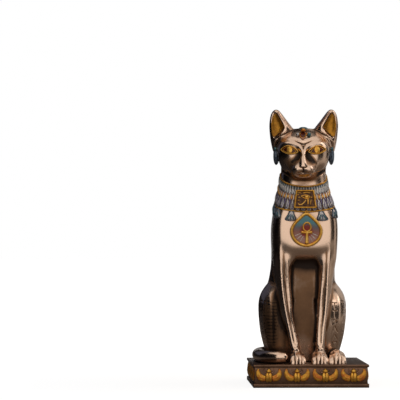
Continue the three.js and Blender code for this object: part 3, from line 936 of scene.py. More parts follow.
# %% Wires and plates
def hoop(route, wide, proud, to, steps=96, sides=10, square=2):
    """A rounded wire along a closed route of two coordinates, half wide across it, half proud."""
    shape = bmesh.new()
    bmesh.ops.create_circle(shape, segments=sides, radius=0.25)  # place reads only its angles
    bmesh.ops.rotate(shape, verts=shape.verts, cent=(0, 0, 0), matrix=Matrix.Rotation(math.pi / 2, 3, "X"))
    bmesh.ops.translate(shape, verts=shape.verts, vec=(1, 0, 0))
    bmesh.ops.spin(
        shape, geom=shape.verts[:] + shape.edges[:], cent=(0, 0, 0), axis=(0, 0, 1),
        angle=2 * math.pi, steps=steps, use_merge=True, use_duplicate=False,
    )

    def place(x, y, z):
        turn = np.arctan2(y, x) / (2 * math.pi)
        around = np.arctan2(z, np.hypot(x, y) - 1)
        ahead = route(turn + 0.002) - route(turn - 0.002)
        ahead = ahead / np.linalg.norm(ahead, axis=0)
        across = wide * bent(np.cos(around), square)
        first, second = route(turn) + across * np.stack([ahead[1], -ahead[0]])
        return to(first, proud * bent(np.sin(around), square), second)

    return pull(shape, place)


def pad(route, centre, proud, to, sides=48, rows=14, plate=0.5):
    """A plate inside a closed route, domed where plate is 1 and flat-topped where it is small."""
    middle = np.array(centre, float)[:, None]

    def place(x, y, z):
        edge = route(np.arctan2(y, x) / (2 * math.pi)) - middle
        first, second = middle + edge * np.hypot(x, y)
        return to(first, proud * np.sign(z) * np.abs(z) ** plate, second)

    return pull(orb(sides, rows), place)


def cornered(points):
    """A closed route with straight sides through corner points."""
    corners = np.array(points + points[:1], float)
    reached = np.concatenate([[0], np.cumsum(np.linalg.norm(np.diff(corners, axis=0), axis=1))])

    def at(turn):
        far = (turn % 1) * reached[-1]
        return np.stack([np.interp(far, reached, corners[:, 0]), np.interp(far, reached, corners[:, 1])])

    return at


def oval(x, z, wide, tall):
    """A closed route round a middle, with a half width and a half height."""

    def at(turn):
        angle = 2 * math.pi * turn
        return np.stack([x + wide * np.cos(angle), z + tall * np.sin(angle)])

    return at


def many(shapes):
    """One shape out of many."""
    joined = bmesh.new()
    for shape in shapes:
        add(joined, shape)
    return joined


# %% [markdown]
# ## Paints
# The colours are metallic hobby paints brushed thinly on the bronze. They wander in tone, and
# every corner is darkened with painted shade. The corners are found by ambient occlusion, which
# measures how much of the sky a point sees.


# %% Brushed-on metallic paint, with painted shade in corners
# The colour of the painted shade in the corners of the paint
CORNER_SHADE = "#1C120D"


def brushed_on(name, colour, thin, shine=0.36, metal=0.75, patch=2.2):
    """Paint in two tones, in patches of a size in millimetres, with painted shade in the corners."""
    material, tree, shader = new_material(name)
    place = node(tree, "TexCoord").outputs["Object"]
    patches = node(tree, "TexNoise", {
        "Vector": place, "Scale": per_mm(patch), "Detail": 4.0, "Roughness": 0.65}).outputs["Fac"]
    spread = node(tree, "MapRange", {"Value": patches, "From Min": 0.38, "From Max": 0.62}).outputs["Result"]
    tone = node(tree, "Mix", {0: spread, 6: paint(thin), 7: paint(colour)}, OF_COLOURS).outputs[2]
    # Painted shade: corners that see little sky take the dark corner colour
    sky = node(tree, "AmbientOcclusion", {"Distance": 0.9 * MM}, {"samples": 6}).outputs["AO"]
    clear = node(tree, "MapRange", {"Value": sky, "From Min": 0.12, "From Max": 0.5}).outputs["Result"]
    corner_shaded = node(tree, "Mix", {0: clear, 6: paint(CORNER_SHADE), 7: tone}, OF_COLOURS).outputs[2]
    rough = node(tree, "MapRange", {
        "Value": patches, "From Min": 0.3, "From Max": 0.7, "To Min": shine + 0.14, "To Max": shine,
    }).outputs["Result"]
    # The marks of a fine brush are about 0.2 mm wide, too fine to show, so they are drawn at 0.7 mm
    strokes = node(tree, "TexNoise", {"Vector": place, "Scale": per_mm(0.7), "Detail": 2.0}).outputs["Fac"]
    bump = node(tree, "Bump", {"Height": strokes, "Strength": 0.12, "Distance": 0.1 * MM}).outputs["Normal"]
    give(shader, {"Base Color": corner_shaded, "Metallic": metal, "Roughness": rough, "Normal": bump})
    return material


# Name, full tone, thin tone, roughness, how metallic, size of the patches in millimetres
bright_gold = brushed_on("gold_paint_bright", "#FFD068", "#F0A83E", 0.28, 0.6)
wire_gold = brushed_on("gold_paint_on_wires", "#F2BE58", "#D8983A", 0.28, 0.85)
deep_gold = brushed_on("gold_paint_deep", "#BE8628", "#96651C", 0.36, 0.7, 5)
orange_gold = brushed_on("gold_paint_over_copper", "#E8B040", "#D07430", 0.36, 0.6, 3)
silver_blue = brushed_on("silver_blue_enamel", "#D8D4D0", "#9496A0", 0.3, 0.75, 1.2)
pale_silver = brushed_on("pale_silver_enamel", "#F0ECE4", "#B8B4B0", 0.3, 0.7, 1.2)
violet = brushed_on("violet_enamel", "#857C9C", "#575070", 0.34, 0.65, 1.4)
teal = brushed_on("teal_enamel", "#66898F", "#3C6470", 0.32, 0.55, 2)
slate_blue = brushed_on("slate_blue_enamel", "#7A8CA0", "#46566A", 0.28, 0.6, 2)
rose = brushed_on("rose_bronze_paint", "#C99A7E", "#94644E", 0.36, 0.75, 1.6)
dark_red = brushed_on("dark_red_enamel", "#6A2A18", "#38160E", 0.22, 0.3, 2)
dark_wash = brushed_on("bronze_resin_under_dark_wash", "#6A4C38", "#3C2A20", 0.38, 0.8, 2)

# %% [markdown]
# ## The eyes
# Each eye is an almond of dark red-brown enamel with a bright gold iris that touches the upper lid.
# A double gold lid runs round it and meets in points. The outer corner is a little higher.

# %% Eyes
EYE_CENTRE, EYE_HEIGHT, EYE_HALF = 5.5, 83.3, 3.35
UPPER_LID, LOWER_LID, EYE_TILT = 1.95, 1.3, 0.13
# The outer and the inner gold line of an eye: share of its full size, thickness, how far it stands out
LID_LINES = ((1, 0.23, 0.72), (0.76, 0.12, 0.7))


def lid(side, share=1.0):
    """The closed outline of an eye, upper lid first, at a share of its full size."""

    def at(turn):
        angle = turn * 2 * math.pi
        along, rise = np.cos(angle), np.sin(angle)
        tall = share * np.where(rise > 0, UPPER_LID, LOWER_LID) * (1 - 0.45 * along**2)
        reach = share * EYE_HALF * along
        return np.stack([side * (EYE_CENTRE + reach), EYE_HEIGHT + EYE_TILT * reach + tall * rise])

    return at


eyes = many(pad(lid(s), (s * EYE_CENTRE, EYE_HEIGHT), 0.6, on_face, plate=0.9) for s in (-1, 1))
piece("eye_enamel", eyes, dark_red)
irises = many(
    ball([s * (EYE_CENTRE - 0.1), 0.5, EYE_HEIGHT + 0.35], [1.1, 0.32, 1.4], on_face, 24, 14)
    for s in (-1, 1))
piece("eye_irises", irises, bright_gold)
lids = many(hoop(lid(s, share), thick, out, on_face, 80) for s in (-1, 1) for share, thick, out in LID_LINES)
piece("eye_lids", lids, bright_gold)

# %% [markdown]
# ## Ear linings
# Only the outer part of each ear is gold. A row of dark beads edges it, and the inner edge of the
# ear is knurled like a coin.

# %% Ear linings, beads and knurling
KNURL_LEAN = 0.68
LINING = [
    [10.95, 98.3], [9.4, 95.7], [7.75, 92.9], [9.5, 90.8], [11.5, 88.9], [12.1, 88.9], [12.5, 89.6],
    [12.75, 90.8], [12.85, 92.4], [12.82, 94], [12.65, 95.4], [12.3, 96.7], [11.8, 97.7], [11.35, 98.2],
]
LINING_EDGE = [[10.85, 98.5], [9.2, 95.8], [7.9, 93.5], [7.55, 92.8], [7.9, 92.2], [9.4, 90.6], [11.4, 88.7]]
KNURLED = [[10.2, 98.6], [8.3, 96.2], [6.6, 94.1], [5.2, 92.3]]


def mirrored(points, side):
    """Points of the right side, on either side."""
    return [[side * x, z] for x, z in points]


def row_of(points, count, radii, to, out, lean=0.0):
    """Small beads at even steps along a smooth run, each leaning by an angle as seen from the front."""

    def bead(x, z):
        def place(a, b, c):
            across, up = turned(radii[0] * a, radii[2] * c, lean)
            return to(x + across, out + radii[1] * b, z + up)

        return pull(orb(8, 6), place)

    line = smooth(points)(np.linspace(0, 1, 400))
    reached = np.concatenate([[0], np.cumsum(np.linalg.norm(np.diff(line), axis=0))])
    steps = np.linspace(0, reached[-1], count)
    return [bead(x, z) for x, z in zip(*(np.interp(steps, reached, row) for row in line))]


linings = many(
    pad(cornered(mirrored(LINING, s)), (s * 11.2, 93.8), 0.22, on_face, 64, 16, 0.25) for s in (-1, 1))
piece("ear_linings", linings, deep_gold)
beads = many(bead for s in (-1, 1)
             for bead in row_of(mirrored(LINING_EDGE, s), 34, [0.17, 0.2, 0.17], on_face, 0.1))
piece("ear_beading", beads, dark_wash)
knurls = many(knurl for s in (-1, 1) for knurl in row_of(
    mirrored(KNURLED, s), 30, [0.45, 0.14, 0.11], on_face, 0, -s * KNURL_LEAN))
piece("ear_knurling", knurls, rose)

# %% [markdown]
# ## Jewels of the head
# A little stack of stones sits on the brow, and a long ribbed drop hangs from each ear.

# %% Brow jewel and ear drops
piece("brow_setting", many([
    ball([-0.1, -11.3, 91.6], [0.95, 1.5, 0.7], on_head),
    hoop(oval(-0.2, 89.7, 1.15, 1.35), 0.2, 0.45, on_face, 32),
    ball([1.35, 0.1, 90], [0.4, 0.35, 0.5], on_face, 12, 8),
    ball([-1.75, 0.1, 90], [0.4, 0.35, 0.5], on_face, 12, 8),
]), orange_gold)
piece("brow_teal", many([
    ball([-0.1, -10.6, 92.2], [1.7, 1.5, 0.6], on_head),
    ball([2.2, -12.6, 89.7], [0.8, 1, 0.85], on_head),
]), teal)
piece("brow_blue", ball([-2.3, -12.7, 89.7], [0.75, 1, 0.85], on_head), silver_blue)
piece("brow_stone", ball([-0.2, 0.2, 89.9], [1.1, 0.55, 1.15], on_face), dark_red)
piece("brow_drop", ball([-0.2, 0.2, 88.3], [0.72, 0.4, 0.66], on_face), rose)


def ribbed_drop(side):
    """A long drop, a little slimmer at its top, with nine ribs."""

    def place(x, y, z):
        rib = 1 + 0.09 * np.cos(9 * np.arctan2(y, x))
        slim = 1 - 0.12 * z
        return on_head(side * 10.9 + 1.1 * slim * rib * x, -5.6 + 2.1 * slim * rib * y, 82 + 4.1 * z)

    return pull(orb(72, 28), place)


piece("ear_drops", many(ribbed_drop(s) for s in (-1, 1)), slate_blue)
drop_stones = many(ball([s * 11.15, -7.2, 84.2], [0.7, 0.75, 0.85], on_head, 20, 12) for s in (-1, 1))
piece("ear_drop_stones", drop_stones, teal)

# %% [markdown]
# ## The collar
# A broad collar: two gold wires with three rows of petals between them, and lotus drops below. The
# rows are placed round the neck at even steps of arc, so the petals keep one size where the neck is
# flat and where it turns. Each petal is one small ball pulled to a leaf, because there are hundreds.

# %% The collar's band and wires
TURN_RADIUS = 12  # turns an angle round the neck into a length


def collar_height(angle, share):
    """A height on the collar, lowest in front: its top wire at share 0, its foot wire at share 1."""
    rise = (1 + np.sin(angle)) / 2
    top, foot = 69.3 + 10.6 * rise - 4.2 * rise**2, 59.4 + 9.4 * rise - 3.6 * rise**2
    return top + (foot - top) * share


def neck_strip(along, out, height):
    """The neck's skin unrolled: a length round the neck takes the place of the angle."""
    return round_neck(along / TURN_RADIUS, out, height)


def collar_route(share):
    """The closed line round the neck at a share of the collar's height."""

    def at(turn):
        angle = turn * 2 * math.pi
        return np.stack([angle * TURN_RADIUS, collar_height(angle, share)])

    return at


piece("collar_band", hoop(collar_route(0.5), 4.9, 0.42, neck_strip, 128, 40, 7), dark_wash)
wires = many(hoop(collar_route(share), 0.28, 0.56, neck_strip, 160, 12) for share in (0, 1))
piece("collar_wires", wires, wire_gold)


# %% Petals in rows
def stations(share, count, shift=0.0):
    """Even steps round the collar at a share of its height: angles, and the radius at each."""
    angles = np.linspace(-math.pi / 2, 1.5 * math.pi, 361)
    places = round_neck(angles, 0 * angles, collar_height(angles, share)).T
    arc = np.concatenate([[0], np.cumsum(np.linalg.norm(np.diff(places, axis=0), axis=1))])
    turns = np.interp((np.arange(count) + shift) / count * arc[-1], arc, angles)
    _, _, front, back, drift = torso_at(collar_height(turns, share))
    there = round_neck(turns, 0 * turns, collar_height(turns, share))
    middle = on_cat(drift, (front + back) / 2, collar_height(turns, share))
    return list(zip(turns, np.linalg.norm(there - middle, axis=0) / UNIT))


def leaf(station, height, wide, tall, out, thick, taper, lean=0.0, sides=8, rows=6):
    """A ball pulled to a leaf: taper 1 points it up, taper -1 points it down, 0 leaves an oval."""
    angle, radius = station

    def place(x, y, z):
        across = wide * x * (1 - taper * z) + lean * z
        return round_neck(angle + across / radius, out - thick * y, height + tall * z)

    return pull(orb(sides, rows), place)


def petal_row(share, count, shift, *form):
    """One row of equal leaves round the collar."""
    return [leaf(s, collar_height(s[0], share), *form) for s in stations(share, count, shift)]


# Share of the collar's height, count, shift; half width, half height, distance out, thickness, taper
first_row = petal_row(0.19, 60, 0.5, 0.54, 1.75, 0.42, 0.22, 0.6)
first_lines = petal_row(0.18, 60, 0.5, 0.14, 1, 0.62, 0.14, 0.4)
first_gaps = petal_row(0.09, 60, 0.0, 0.16, 0.5, 0.44, 0.2, -0.5)
second_row = petal_row(0.46, 46, 0.5, 0.64, 1.2, 0.42, 0.24, 0.2)
hearts = petal_row(0.47, 46, 0.5, 0.28, 0.6, 0.62, 0.2, 0)
between = petal_row(0.46, 46, 0.0, 0.26, 1.3, 0.42, 0.2, 0)
third_row = petal_row(0.76, 36, 0.5, 0.78, 2.25, 0.4, 0.24, 0.7)
third_inner = petal_row(0.79, 36, 0.5, 0.42, 1.5, 0.56, 0.18, 0.7)
third_lines = petal_row(0.8, 36, 0.5, 0.13, 1.1, 0.74, 0.12, 0.4)
fillers = petal_row(0.68, 36, 0.0, 0.34, 1.5, 0.42, 0.2, -0.8)
piece("collar_petals_silver_blue", many(first_row + third_row), silver_blue)
piece("collar_petals_silver", many(first_lines + between + third_lines), pale_silver)
piece("collar_petals_rose", many(second_row), rose)
piece("collar_petals_gold", many(hearts), bright_gold)
piece("collar_petals_violet", many(third_inner + fillers), violet)
piece("collar_petals_teal", many(first_gaps), teal)

# %% [markdown]
# The lotus drops are flat bells with three petals on them, outlined by a raised line. The outline is
# written down once, as half a bell, and every bell hangs from its own place on the foot wire.

# %% Lotus drops below the collar
BELL = [[0, 0.1], [0.7, -0.5], [1.05, -1.6], [1.75, -3.2], [1.3, -3.75], [0, -3.95]]


def bell_edge(station):
    """The closed outline of a lotus bell that hangs at a place on the collar's foot wire."""
    angle, radius = station
    half = smooth(BELL)
    top = collar_height(angle, 1)

    def at(turn):
        turn = (turn + 0.25) % 1
        x, z = half(np.abs(1 - 2 * turn))
        return np.stack([(angle + np.where(turn < 0.5, 1, -1) * x / radius) * TURN_RADIUS, top + z])

    return at


LOTUS_COUNT = 14
hanging = stations(1, LOTUS_COUNT)[1:]  # the first place is in front, where the pendant hangs
cups, outlines, inner, outer_petals = [], [], [], []
for station in hanging:
    angle, foot = station[0], collar_height(station[0], 1)
    edge = bell_edge(station)
    cups.append(pad(edge, (angle * TURN_RADIUS, foot - 2.3), 0.5, neck_strip, 24, 8, 0.6))
    outlines.append(hoop(edge, 0.15, 0.62, neck_strip, 48, 8))
    inner.append(leaf(station, foot - 2.4, 0.3, 1.15, 0.6, 0.25, -0.2, 0, 8, 6))
    for lean in (-0.3, 0.3):
        beside = (angle + lean * 2.6 / station[1], station[1])
        outer_petals.append(leaf(beside, foot - 2.5, 0.28, 1, 0.58, 0.25, 0.2, -lean, 8, 6))
piece("lotus_bells", many(cups), silver_blue)
piece("lotus_outlines", many(outlines + inner), slate_blue)
piece("lotus_petals", many(outer_petals), teal)

# %% [markdown]
# ## Panel and pendant
# The panel is a framed plaque with an eye sign. The pendant is a painted disc with a point at its
# top, a gold rim and a looped cross. Both stand a little off the chest, each on a flat face of its own.


# %% The eye panel
def on_plane(across, front, height, lean):
    """A way to place x, out and z on a flat face that leans back."""
    slope = math.tan(math.radians(lean))
    return lambda x, out, z: on_cat(x + across, front - out + z * slope, height + z)


on_panel = on_plane(-0.5, -15, 64.4, 13)
PANEL_FOOT, PANEL_HEAD, PANEL_HALF = 4.2, 3.3, 3.3
panel_edge = cornered([[-PANEL_FOOT, -PANEL_HALF], [PANEL_FOOT, -PANEL_HALF],
                       [PANEL_HEAD, PANEL_HALF], [-PANEL_HEAD, PANEL_HALF]])


def sunk(to, thick, deep):
    """Places a plate that is so thick, with its middle so deep under the flat face."""
    return lambda x, out, z: to(x, out * thick - deep, z)


field = pad(panel_edge, (0, 0), 1, sunk(on_panel, 1.3, 1.35), 96, 16, 0.06)
piece("panel_field", field, dark_wash)
piece("panel_frame", hoop(panel_edge, 0.36, 0.6, on_panel, 128, 12), wire_gold)


def stroke_on(to, points, radius, out=0.1):
    """A raised stroke of a sign, thinner towards its ends."""
    run = [[x, out, z] for x, z in points]
    radii = [radius * 0.75] + [radius] * max(len(run) - 2, 1) + [radius * 0.7]
    return bar(run, radii, to, 10, 20, 0.8, (0, 1, 0))


EYE_SIGN = [
    ([[-0.9, 2.3], [0.6, 2.6], [2.1, 2.4]], 0.17),
    ([[-3, 2.3], [-2.1, 2.45], [-1.4, 2.2]], 0.14),
    ([[-1.6, 1.15], [-0.7, 1.35], [0.6, 1.5], [2, 0.85]], 0.2),
    ([[-1.6, 1.1], [-0.6, 0.5], [0.6, 0.1], [2, 0.8]], 0.18),
    ([[-3.15, 1.6], [-2.5, 1.7]], 0.16),
    ([[-2.7, 0.64], [-1.85, 0.64]], 0.16),
    ([[-2.9, -0.55], [-2.2, -0.5]], 0.15),
    ([[0.3, -0.3], [-0.2, -1.1], [-0.8, -1.7], [-1.6, -2.2], [-2.5, -2.1], [-2.6, -1.7]], 0.2),
    ([[1.1, 0.2], [1.1, -0.9], [1.1, -2.1]], 0.32),
    ([[2.35, -0.2], [2.2, -1.2], [2.1, -2.2]], 0.17),
]
sign = [stroke_on(on_panel, points, radius) for points, radius in EYE_SIGN]
sign += [ball([0.6, 0.1, 0.8], [0.75, 0.4, 0.6], on_panel), ball([2.4, 0.1, 0.6], [0.3, 0.25, 0.3], on_panel)]
piece("panel_eye_sign", many(sign), bright_gold)

# %% The pendant
on_pendant = on_plane(-0.1, -16.3, 51.9, -2)
PENDANT_RADIUS = 6.4


def teardrop(radius):
    """A circle whose upper half is drawn in to a point."""

    def at(turn):
        angle = turn * 2 * math.pi
        rise = np.sin(angle)
        up = np.clip(rise, 0, 1)
        return np.stack([radius * np.cos(angle) * (1 - 0.33 * up**1.6), radius * (rise + 0.14 * up**8)])

    return at


backing = pad(teardrop(PENDANT_RADIUS - 0.4), (0, 0), 1, sunk(on_pendant, 1.2, 1.2), 96, 14, 0.08)
piece("pendant_back", backing, dark_wash)
piece("pendant_rim", many([
    hoop(teardrop(PENDANT_RADIUS - 0.6), 0.6, 0.55, on_pendant, 128, 14),
    hoop(oval(0, 7.1, 0.5, 0.62), 0.2, 0.35, on_pendant, 32),
]), bright_gold)

# %% [markdown]
# The pendant's picture is a sunset behind the cross: teal above, a red glow in the middle and rose
# below. One height ramp and one distance from the middle paint it.

# %% The pendant's picture
CLOUD, SHAKE = 1.6, 1.6  # how big the clouds are that wet paint runs into, and how far, in millimetres


def sunset(middle):
    """Teal over rose, with a red glow round a middle; both edges are shaken by a noise."""
    material, tree, shader = new_material("pendant_enamel_sunset")
    place = node(tree, "TexCoord").outputs["Object"]
    clouds = node(tree, "TexNoise", {"Vector": place, "Scale": per_mm(CLOUD), "Detail": 4.0}).outputs["Color"]
    shaken = node(tree, "VectorMath", {
        0: clouds, 1: (SHAKE * MM,) * 3, 2: place}, {"operation": "MULTIPLY_ADD"}).outputs[0]
    offset = node(tree, "VectorMath", {
        0: shaken, 1: tuple(v + SHAKE / 2 * MM for v in middle)}, {"operation": "SUBTRACT"}).outputs[0]
    height = node(tree, "SeparateXYZ", {"Vector": offset}).outputs["Z"]
    level = node(tree, "MapRange", {
        "Value": height, "From Min": -10 * MM, "From Max": 11 * MM}).outputs["Result"]
    sky = node(tree, "ValToRGB", {"Fac": level})
    stops = sky.color_ramp.elements
    stops[0].position, stops[0].color = 0.2, paint("#B88C84")
    stops[1].position, stops[1].color = 0.76, paint("#5A8C98")
    for position, colour in ((0.44, "#96685E"), (0.6, "#6E6A70")):
        stops.new(position).color = paint(colour)
    far = node(tree, "VectorMath", {0: offset}, {"operation": "LENGTH"}).outputs["Value"]
    glow = node(tree, "MapRange", {
        "Value": far, "From Min": 3.2 * MM, "From Max": 6.2 * MM, "To Min": 0.92, "To Max": 0.0,
    }, {"interpolation_type": "SMOOTHSTEP"}).outputs["Result"]
    red = paint("#8E2E1E")
    red_sun = node(tree, "Mix", {0: glow, 6: sky.outputs["Color"], 7: red}, OF_COLOURS).outputs[2]
    give(shader, {"Base Color": red_sun, "Metallic": 0.45, "Roughness": 0.34})
    return material


sunset_enamel = sunset(tuple(float(v) for v in on_pendant(0.0, 0.0, 0.0)))
rays = [stroke_on(on_pendant, [[near * math.sin(a), -near * math.cos(a)] for near in (2.4, 4.9)], 0.16, -0.02)
        for a in np.radians([-66, -48, -30, 30, 48, 66])]
picture = pad(teardrop(PENDANT_RADIUS - 1), (0, 0), 1, sunk(on_pendant, 0.4, 0.36), 96, 14, 0.1)
piece("pendant_picture", picture, sunset_enamel)
piece("pendant_rays", many(rays), pale_silver)
STEM = [[0.2, 0.2, -5], [0.2, 0.2, -2.6], [0.2, 0.2, -0.4]]
ARMS = [[-2, 0.2, -0.55], [0.2, 0.2, -0.75], [2.3, 0.2, -0.55]]
cross = [
    bar(STEM, [0.78, 0.6, 0.5], on_pendant, 16, 24, 0.7, (0, 1, 0)),
    bar(ARMS, [0.55, 0.36, 0.55], on_pendant, 16, 24, 0.7, (0, 1, 0)),
    hoop(oval(0.25, 1.45, 1.5, 1.75), 0.36, 0.5, on_pendant, 64, 12),
]
piece("pendant_looped_cross", many(cross), bright_gold)

# %% [markdown]
# ## The plinth
# Three slabs: a thin top, a frieze set back by a millimetre and a base. The edges of a casting are
# never sharp, so each slab has small rounded edges. The top one has lost a chip at its back edge.

# %% Slabs
TOP_SLAB, BASE_SLAB, FRIEZE_INSET = 1.9, 2.9, 1
SCARABS_PROUD = 0.4  # how far the solids' scarabs stand out past the slabs
PLINTH_WIDE, PLINTH_LONG = (round(2 * (far / MM - SCARABS_PROUD), 1) for far in plinth_high.xy)
PLINTH_HIGH = plinth_high.z / MM
FRIEZE_MIDDLE = (BASE_SLAB + PLINTH_HIGH - TOP_SLAB) / 2


def slab(wide, long, low, high, edge=0.4):
    """A block with rounded edges, from one height to another, in millimetres."""
    shape = bmesh.new()
    bmesh.ops.create_cube(shape, size=MM)
    bmesh.ops.scale(shape, verts=shape.verts, vec=(wide, long, high - low))
    bmesh.ops.translate(shape, verts=shape.verts, vec=(0, 0, (low + high) / 2 * MM))
    bmesh.ops.bevel(shape, geom=shape.edges[:], affect="EDGES", offset=edge * MM, segments=4,
                    profile=0.5, material=-1)
    return shape


CHIP_ALONG = 0.44  # the chip's place along the back edge, as a share of the width
top = as_object("top", slab(PLINTH_WIDE, PLINTH_LONG, PLINTH_HIGH - TOP_SLAB, PLINTH_HIGH))
lost = as_object("lost", pull(orb(24, 16), lambda x, y, z: np.stack([
    PLINTH_WIDE * CHIP_ALONG + 1.5 * x, PLINTH_LONG / 2 + y, PLINTH_HIGH + z]) * MM))
chip = top.modifiers.new("chip", "BOOLEAN")
chip.object, chip.operation = lost, "DIFFERENCE"
block = bmesh.new()
block.from_mesh(settled(top))
bpy.data.objects.remove(lost)
inner_wide, inner_long = PLINTH_WIDE - 2 * FRIEZE_INSET, PLINTH_LONG - 2 * FRIEZE_INSET
add(block, slab(inner_wide, inner_long, BASE_SLAB - 0.5, PLINTH_HIGH - TOP_SLAB + 0.5, 0.3))
add(block, slab(PLINTH_WIDE, PLINTH_LONG, 0, BASE_SLAB))
plinth_piece = piece("plinth_slabs", block, plinth_bronze, sharp_from=40)
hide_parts("plinth")

# %% [markdown]
# ## Winged scarabs
# Each side has as many scarabs as its length holds. A scarab is two long wing-cases, a round
# shoulder and head, two thin curved forelegs, and a crescent of feathers on each side.

# %% One scarab, on any face
SCARAB_PITCH, WING_SPAN = 21, 18.8
WING = [[7.6, 4.9], [8, 2.7], [7.4, 0.5], [6.1, -1.2], [4.4, -2], [2.6, -2.1]]
SCARAB_LEG = [[1.5, 2], [2.7, 2.2], [3.7, 3.4], [3.2, 5]]


def frieze_face(along, turn, away):
    """A way to place millimetres across, out and up on one face of the frieze."""

    def place(x, out, z):
        x, out, z = np.broadcast_arrays(x + along, away + out, z)
        across, back = turned(x, -out, math.radians(turn))
        return np.stack([across, back, z + FRIEZE_MIDDLE]) * MM

    return place


def scarab(to, bodies, wings, legs):
    """One scarab in millimetres, put into the three lists by paint."""
    for side in (-1, 1):
        bodies.append(ball([side * 1.05, 0, -1.3], [1.85, 1.3, 3.6], to, 20, 14))
        feathers = [[side * x, 0.1, z] for x, z in WING]
        wings.append(bar(feathers, [0.5, 1.35, 2, 2.4, 2.3, 1.9], to, 28, 24, 0.38, (0, 1, 0), 3))
        foreleg = [[side * x, 0.45, z] for x, z in SCARAB_LEG]
        legs.append(bar(foreleg, [0.3, 0.26, 0.24, 0.2], to, 8, 14, 1, (0, 1, 0)))
    bodies.append(ball([0, 0, 3], [2.1, 1.15, 1.35], to, 18, 12))
    bodies.append(ball([0, 0, 4.3], [1.05, 0.85, 0.85], to, 16, 10))


# %% Scarabs on the four sides
bodies, wings, legs = [], [], []
for turn, length, away in ((0, inner_wide, inner_long), (90, inner_long, inner_wide),
                           (180, inner_wide, inner_long), (270, inner_long, inner_wide)):
    count = int((length + SCARAB_PITCH - WING_SPAN) // SCARAB_PITCH)
    for i in range(count):
        scarab(frieze_face((i + 0.5) * length / count - length / 2, turn, away / 2), bodies, wings, legs)
piece("scarab_bodies", many(bodies), wire_gold)
piece("scarab_wings", many(wings), orange_gold)
piece("scarab_legs", many(legs), rose)

# %% [markdown]
# ## Floor, light and camera
# A polished metal shows its surroundings more than its own colour. So the light is a few large soft
# boxes in a dim room: an upright one in front for the chest, a ceiling for the brow, and one high
# at the right for the patch on the thigh. The left stays dark, as in the photo. The room is white
# only where the camera looks straight at it.

# %% Floor
floor_material, tree, shader = new_material("pale_studio_floor")
spot = node(tree, "TexCoord").outputs["Object"]
sideways = node(tree, "SeparateXYZ", {"Vector": spot}).outputs["X"]
across = node(tree, "MapRange", {"Value": sideways, "From Min": -0.2, "From Max": 0.0}).outputs["Result"]
distance = node(tree, "VectorMath", {0: spot}, {"operation": "LENGTH"}).outputs["Value"]
far = node(tree, "MapRange", {"Value": distance, "From Min": 0.45, "From Max": 0.75}).outputs["Result"]
# The floor's colour is painted darker within about half a metre of the figure and very dark to its left:
# painted shade round the figure and on the left, which the metal reflects
floor_shade_near = node(tree, "Mix", {0: far, 6: paint("#787068"), 7: paint("#DCD8D2")}, OF_COLOURS).outputs[2]
shaded = node(tree, "Mix", {0: across, 6: paint("#2A2A30"), 7: floor_shade_near}, OF_COLOURS).outputs[2]
# Only the camera sees the floor glow, a painted brightness; it is dimmer within half a metre of the middle, a
# painted shadow round the plinth
glow_with_painted_shadow = node(tree, "MapRange", {
    "Value": distance, "From Min": 0.05, "From Max": 0.5, "To Min": 0.9, "To Max": 1.1}).outputs["Result"]
seen = node(tree, "LightPath").outputs["Is Camera Ray"]
glow = node(tree, "MapRange", {"Value": seen, "To Min": 0.0, "To Max": glow_with_painted_shadow}).outputs["Result"]
give(shader, {
    "Base Color": shaded, "Roughness": 0.9, "Emission Color": paint("#FFFFFF"), "Emission Strength": glow})
ground = bmesh.new()
bmesh.ops.create_grid(ground, x_segments=1, y_segments=1, size=6)
floor_mesh = bpy.data.meshes.new("floor")
ground.to_mesh(floor_mesh)
ground.free()
floor_mesh.materials.append(floor_material)
floor = bpy.data.objects.new("floor", floor_mesh)
bpy.context.scene.collection.objects.link(floor)
print("floor laid")

# %% Room
world = bpy.data.worlds.new("studio")
bpy.context.scene.world = world
world.use_nodes = True
tree = world.node_tree
tree.nodes.clear()
seen = node(tree, "LightPath").outputs["Is Camera Ray"]
direction = node(tree, "TexCoord").outputs["Generated"]
rightward = node(tree, "SeparateXYZ", {"Vector": direction}).outputs["X"]
shade = node(tree, "MapRange", {"Value": rightward, "From Min": -0.8, "From Max": 0.3}).outputs["Result"]
dimness = node(tree, "ValToRGB", {"Fac": shade})
for stop, colour in zip(dimness.color_ramp.elements, ("#04050A", "#2C2826")):
    stop.color = paint(colour)
room = node(tree, "Background", {"Color": dimness.outputs["Color"], "Strength": 0.6})
backdrop = node(tree, "Background", {"Color": paint("#FFFFFF"), "Strength": 1.0})
shown = node(tree, "MixShader", {0: seen, 1: room.outputs[0], 2: backdrop.outputs[0]})
node(tree, "OutputWorld", {"Surface": shown.outputs[0]})
print("room painted")


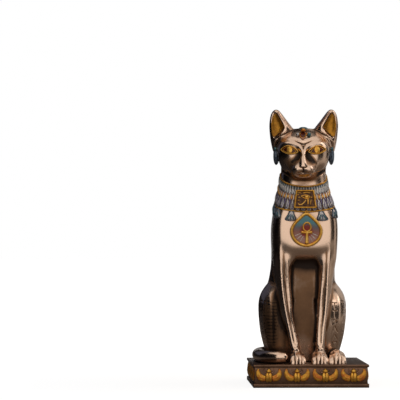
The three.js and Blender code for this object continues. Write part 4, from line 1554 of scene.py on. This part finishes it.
# %% Soft boxes
def soft_box(name, place, target, size, brightness, tint="#FFFFFF"):
    """A rectangular lamp whose face has the same brightness whatever its size."""
    lamp = bpy.data.lights.new(name, "AREA")
    lamp.shape, lamp.size, lamp.size_y = "RECTANGLE", *size
    lamp.energy = brightness * math.pi * size[0] * size[1]
    lamp.color = paint(tint)[:3]
    box = bpy.data.objects.new(name, lamp)
    bpy.context.scene.collection.objects.link(box)
    box.location = place
    box.rotation_euler = (Vector(target) - Vector(place)).to_track_quat("-Z", "Y").to_euler()
    box.visible_camera = False


heart = (0, 0, 0.11)  # the middle of the figure
# name, place, what it points at, width and height in metres, brightness, tint
soft_box("front", (-0.12, -1.6, 0.76), (-0.12, 0, 0.76), (2.5, 1.5), 0.9, "#FFF6EC")
soft_box("ceiling", (0.2, -0.45, 1.25), (0.2, -0.45, 0), (2.4, 2), 0.75, "#FFF6EC")
soft_box("high_right", (1.35, 0.24, 1.11), heart, (0.9, 0.9), 1.4, "#FFF6EC")
soft_box("right", (1.69, 0.15, 0.26), heart, (1, 0.8), 0.4, "#FFF6EC")
soft_box("low_behind", (0.45, 1.7, 0.1), heart, (1.2, 0.25), 0.6)
soft_box("behind_right", (0.77, 1.33, 0.83), heart, (1.2, 1.2), 0.4, "#FFF6EC")
soft_box("behind_left", (-0.77, 1.33, 0.83), heart, (1, 1.2), 0.08, "#C8D4FF")
print("soft boxes:", len(bpy.data.lights))

# %% [markdown]
# The camera stands two metres in front and a little to the left, about level with the cat's chest,
# with a long lens. From there the outline, and how much shows of the plinth's top, agree with the photo.

# %% Camera
LENS_ANGLE, TILT, PAN = 8.395, 90.357, -1.665
lens = bpy.data.cameras.new("portrait")
lens.angle = math.radians(LENS_ANGLE)
lens.clip_start = 0.01
camera = bpy.data.objects.new("portrait", lens)
camera.location = (-0.140, -2.052, 0.1256)
camera.rotation_euler = (math.radians(TILT), 0, math.radians(PAN))
bpy.context.scene.collection.objects.link(camera)
bpy.context.scene.camera = camera
bpy.context.scene.view_settings.view_transform = "Standard"
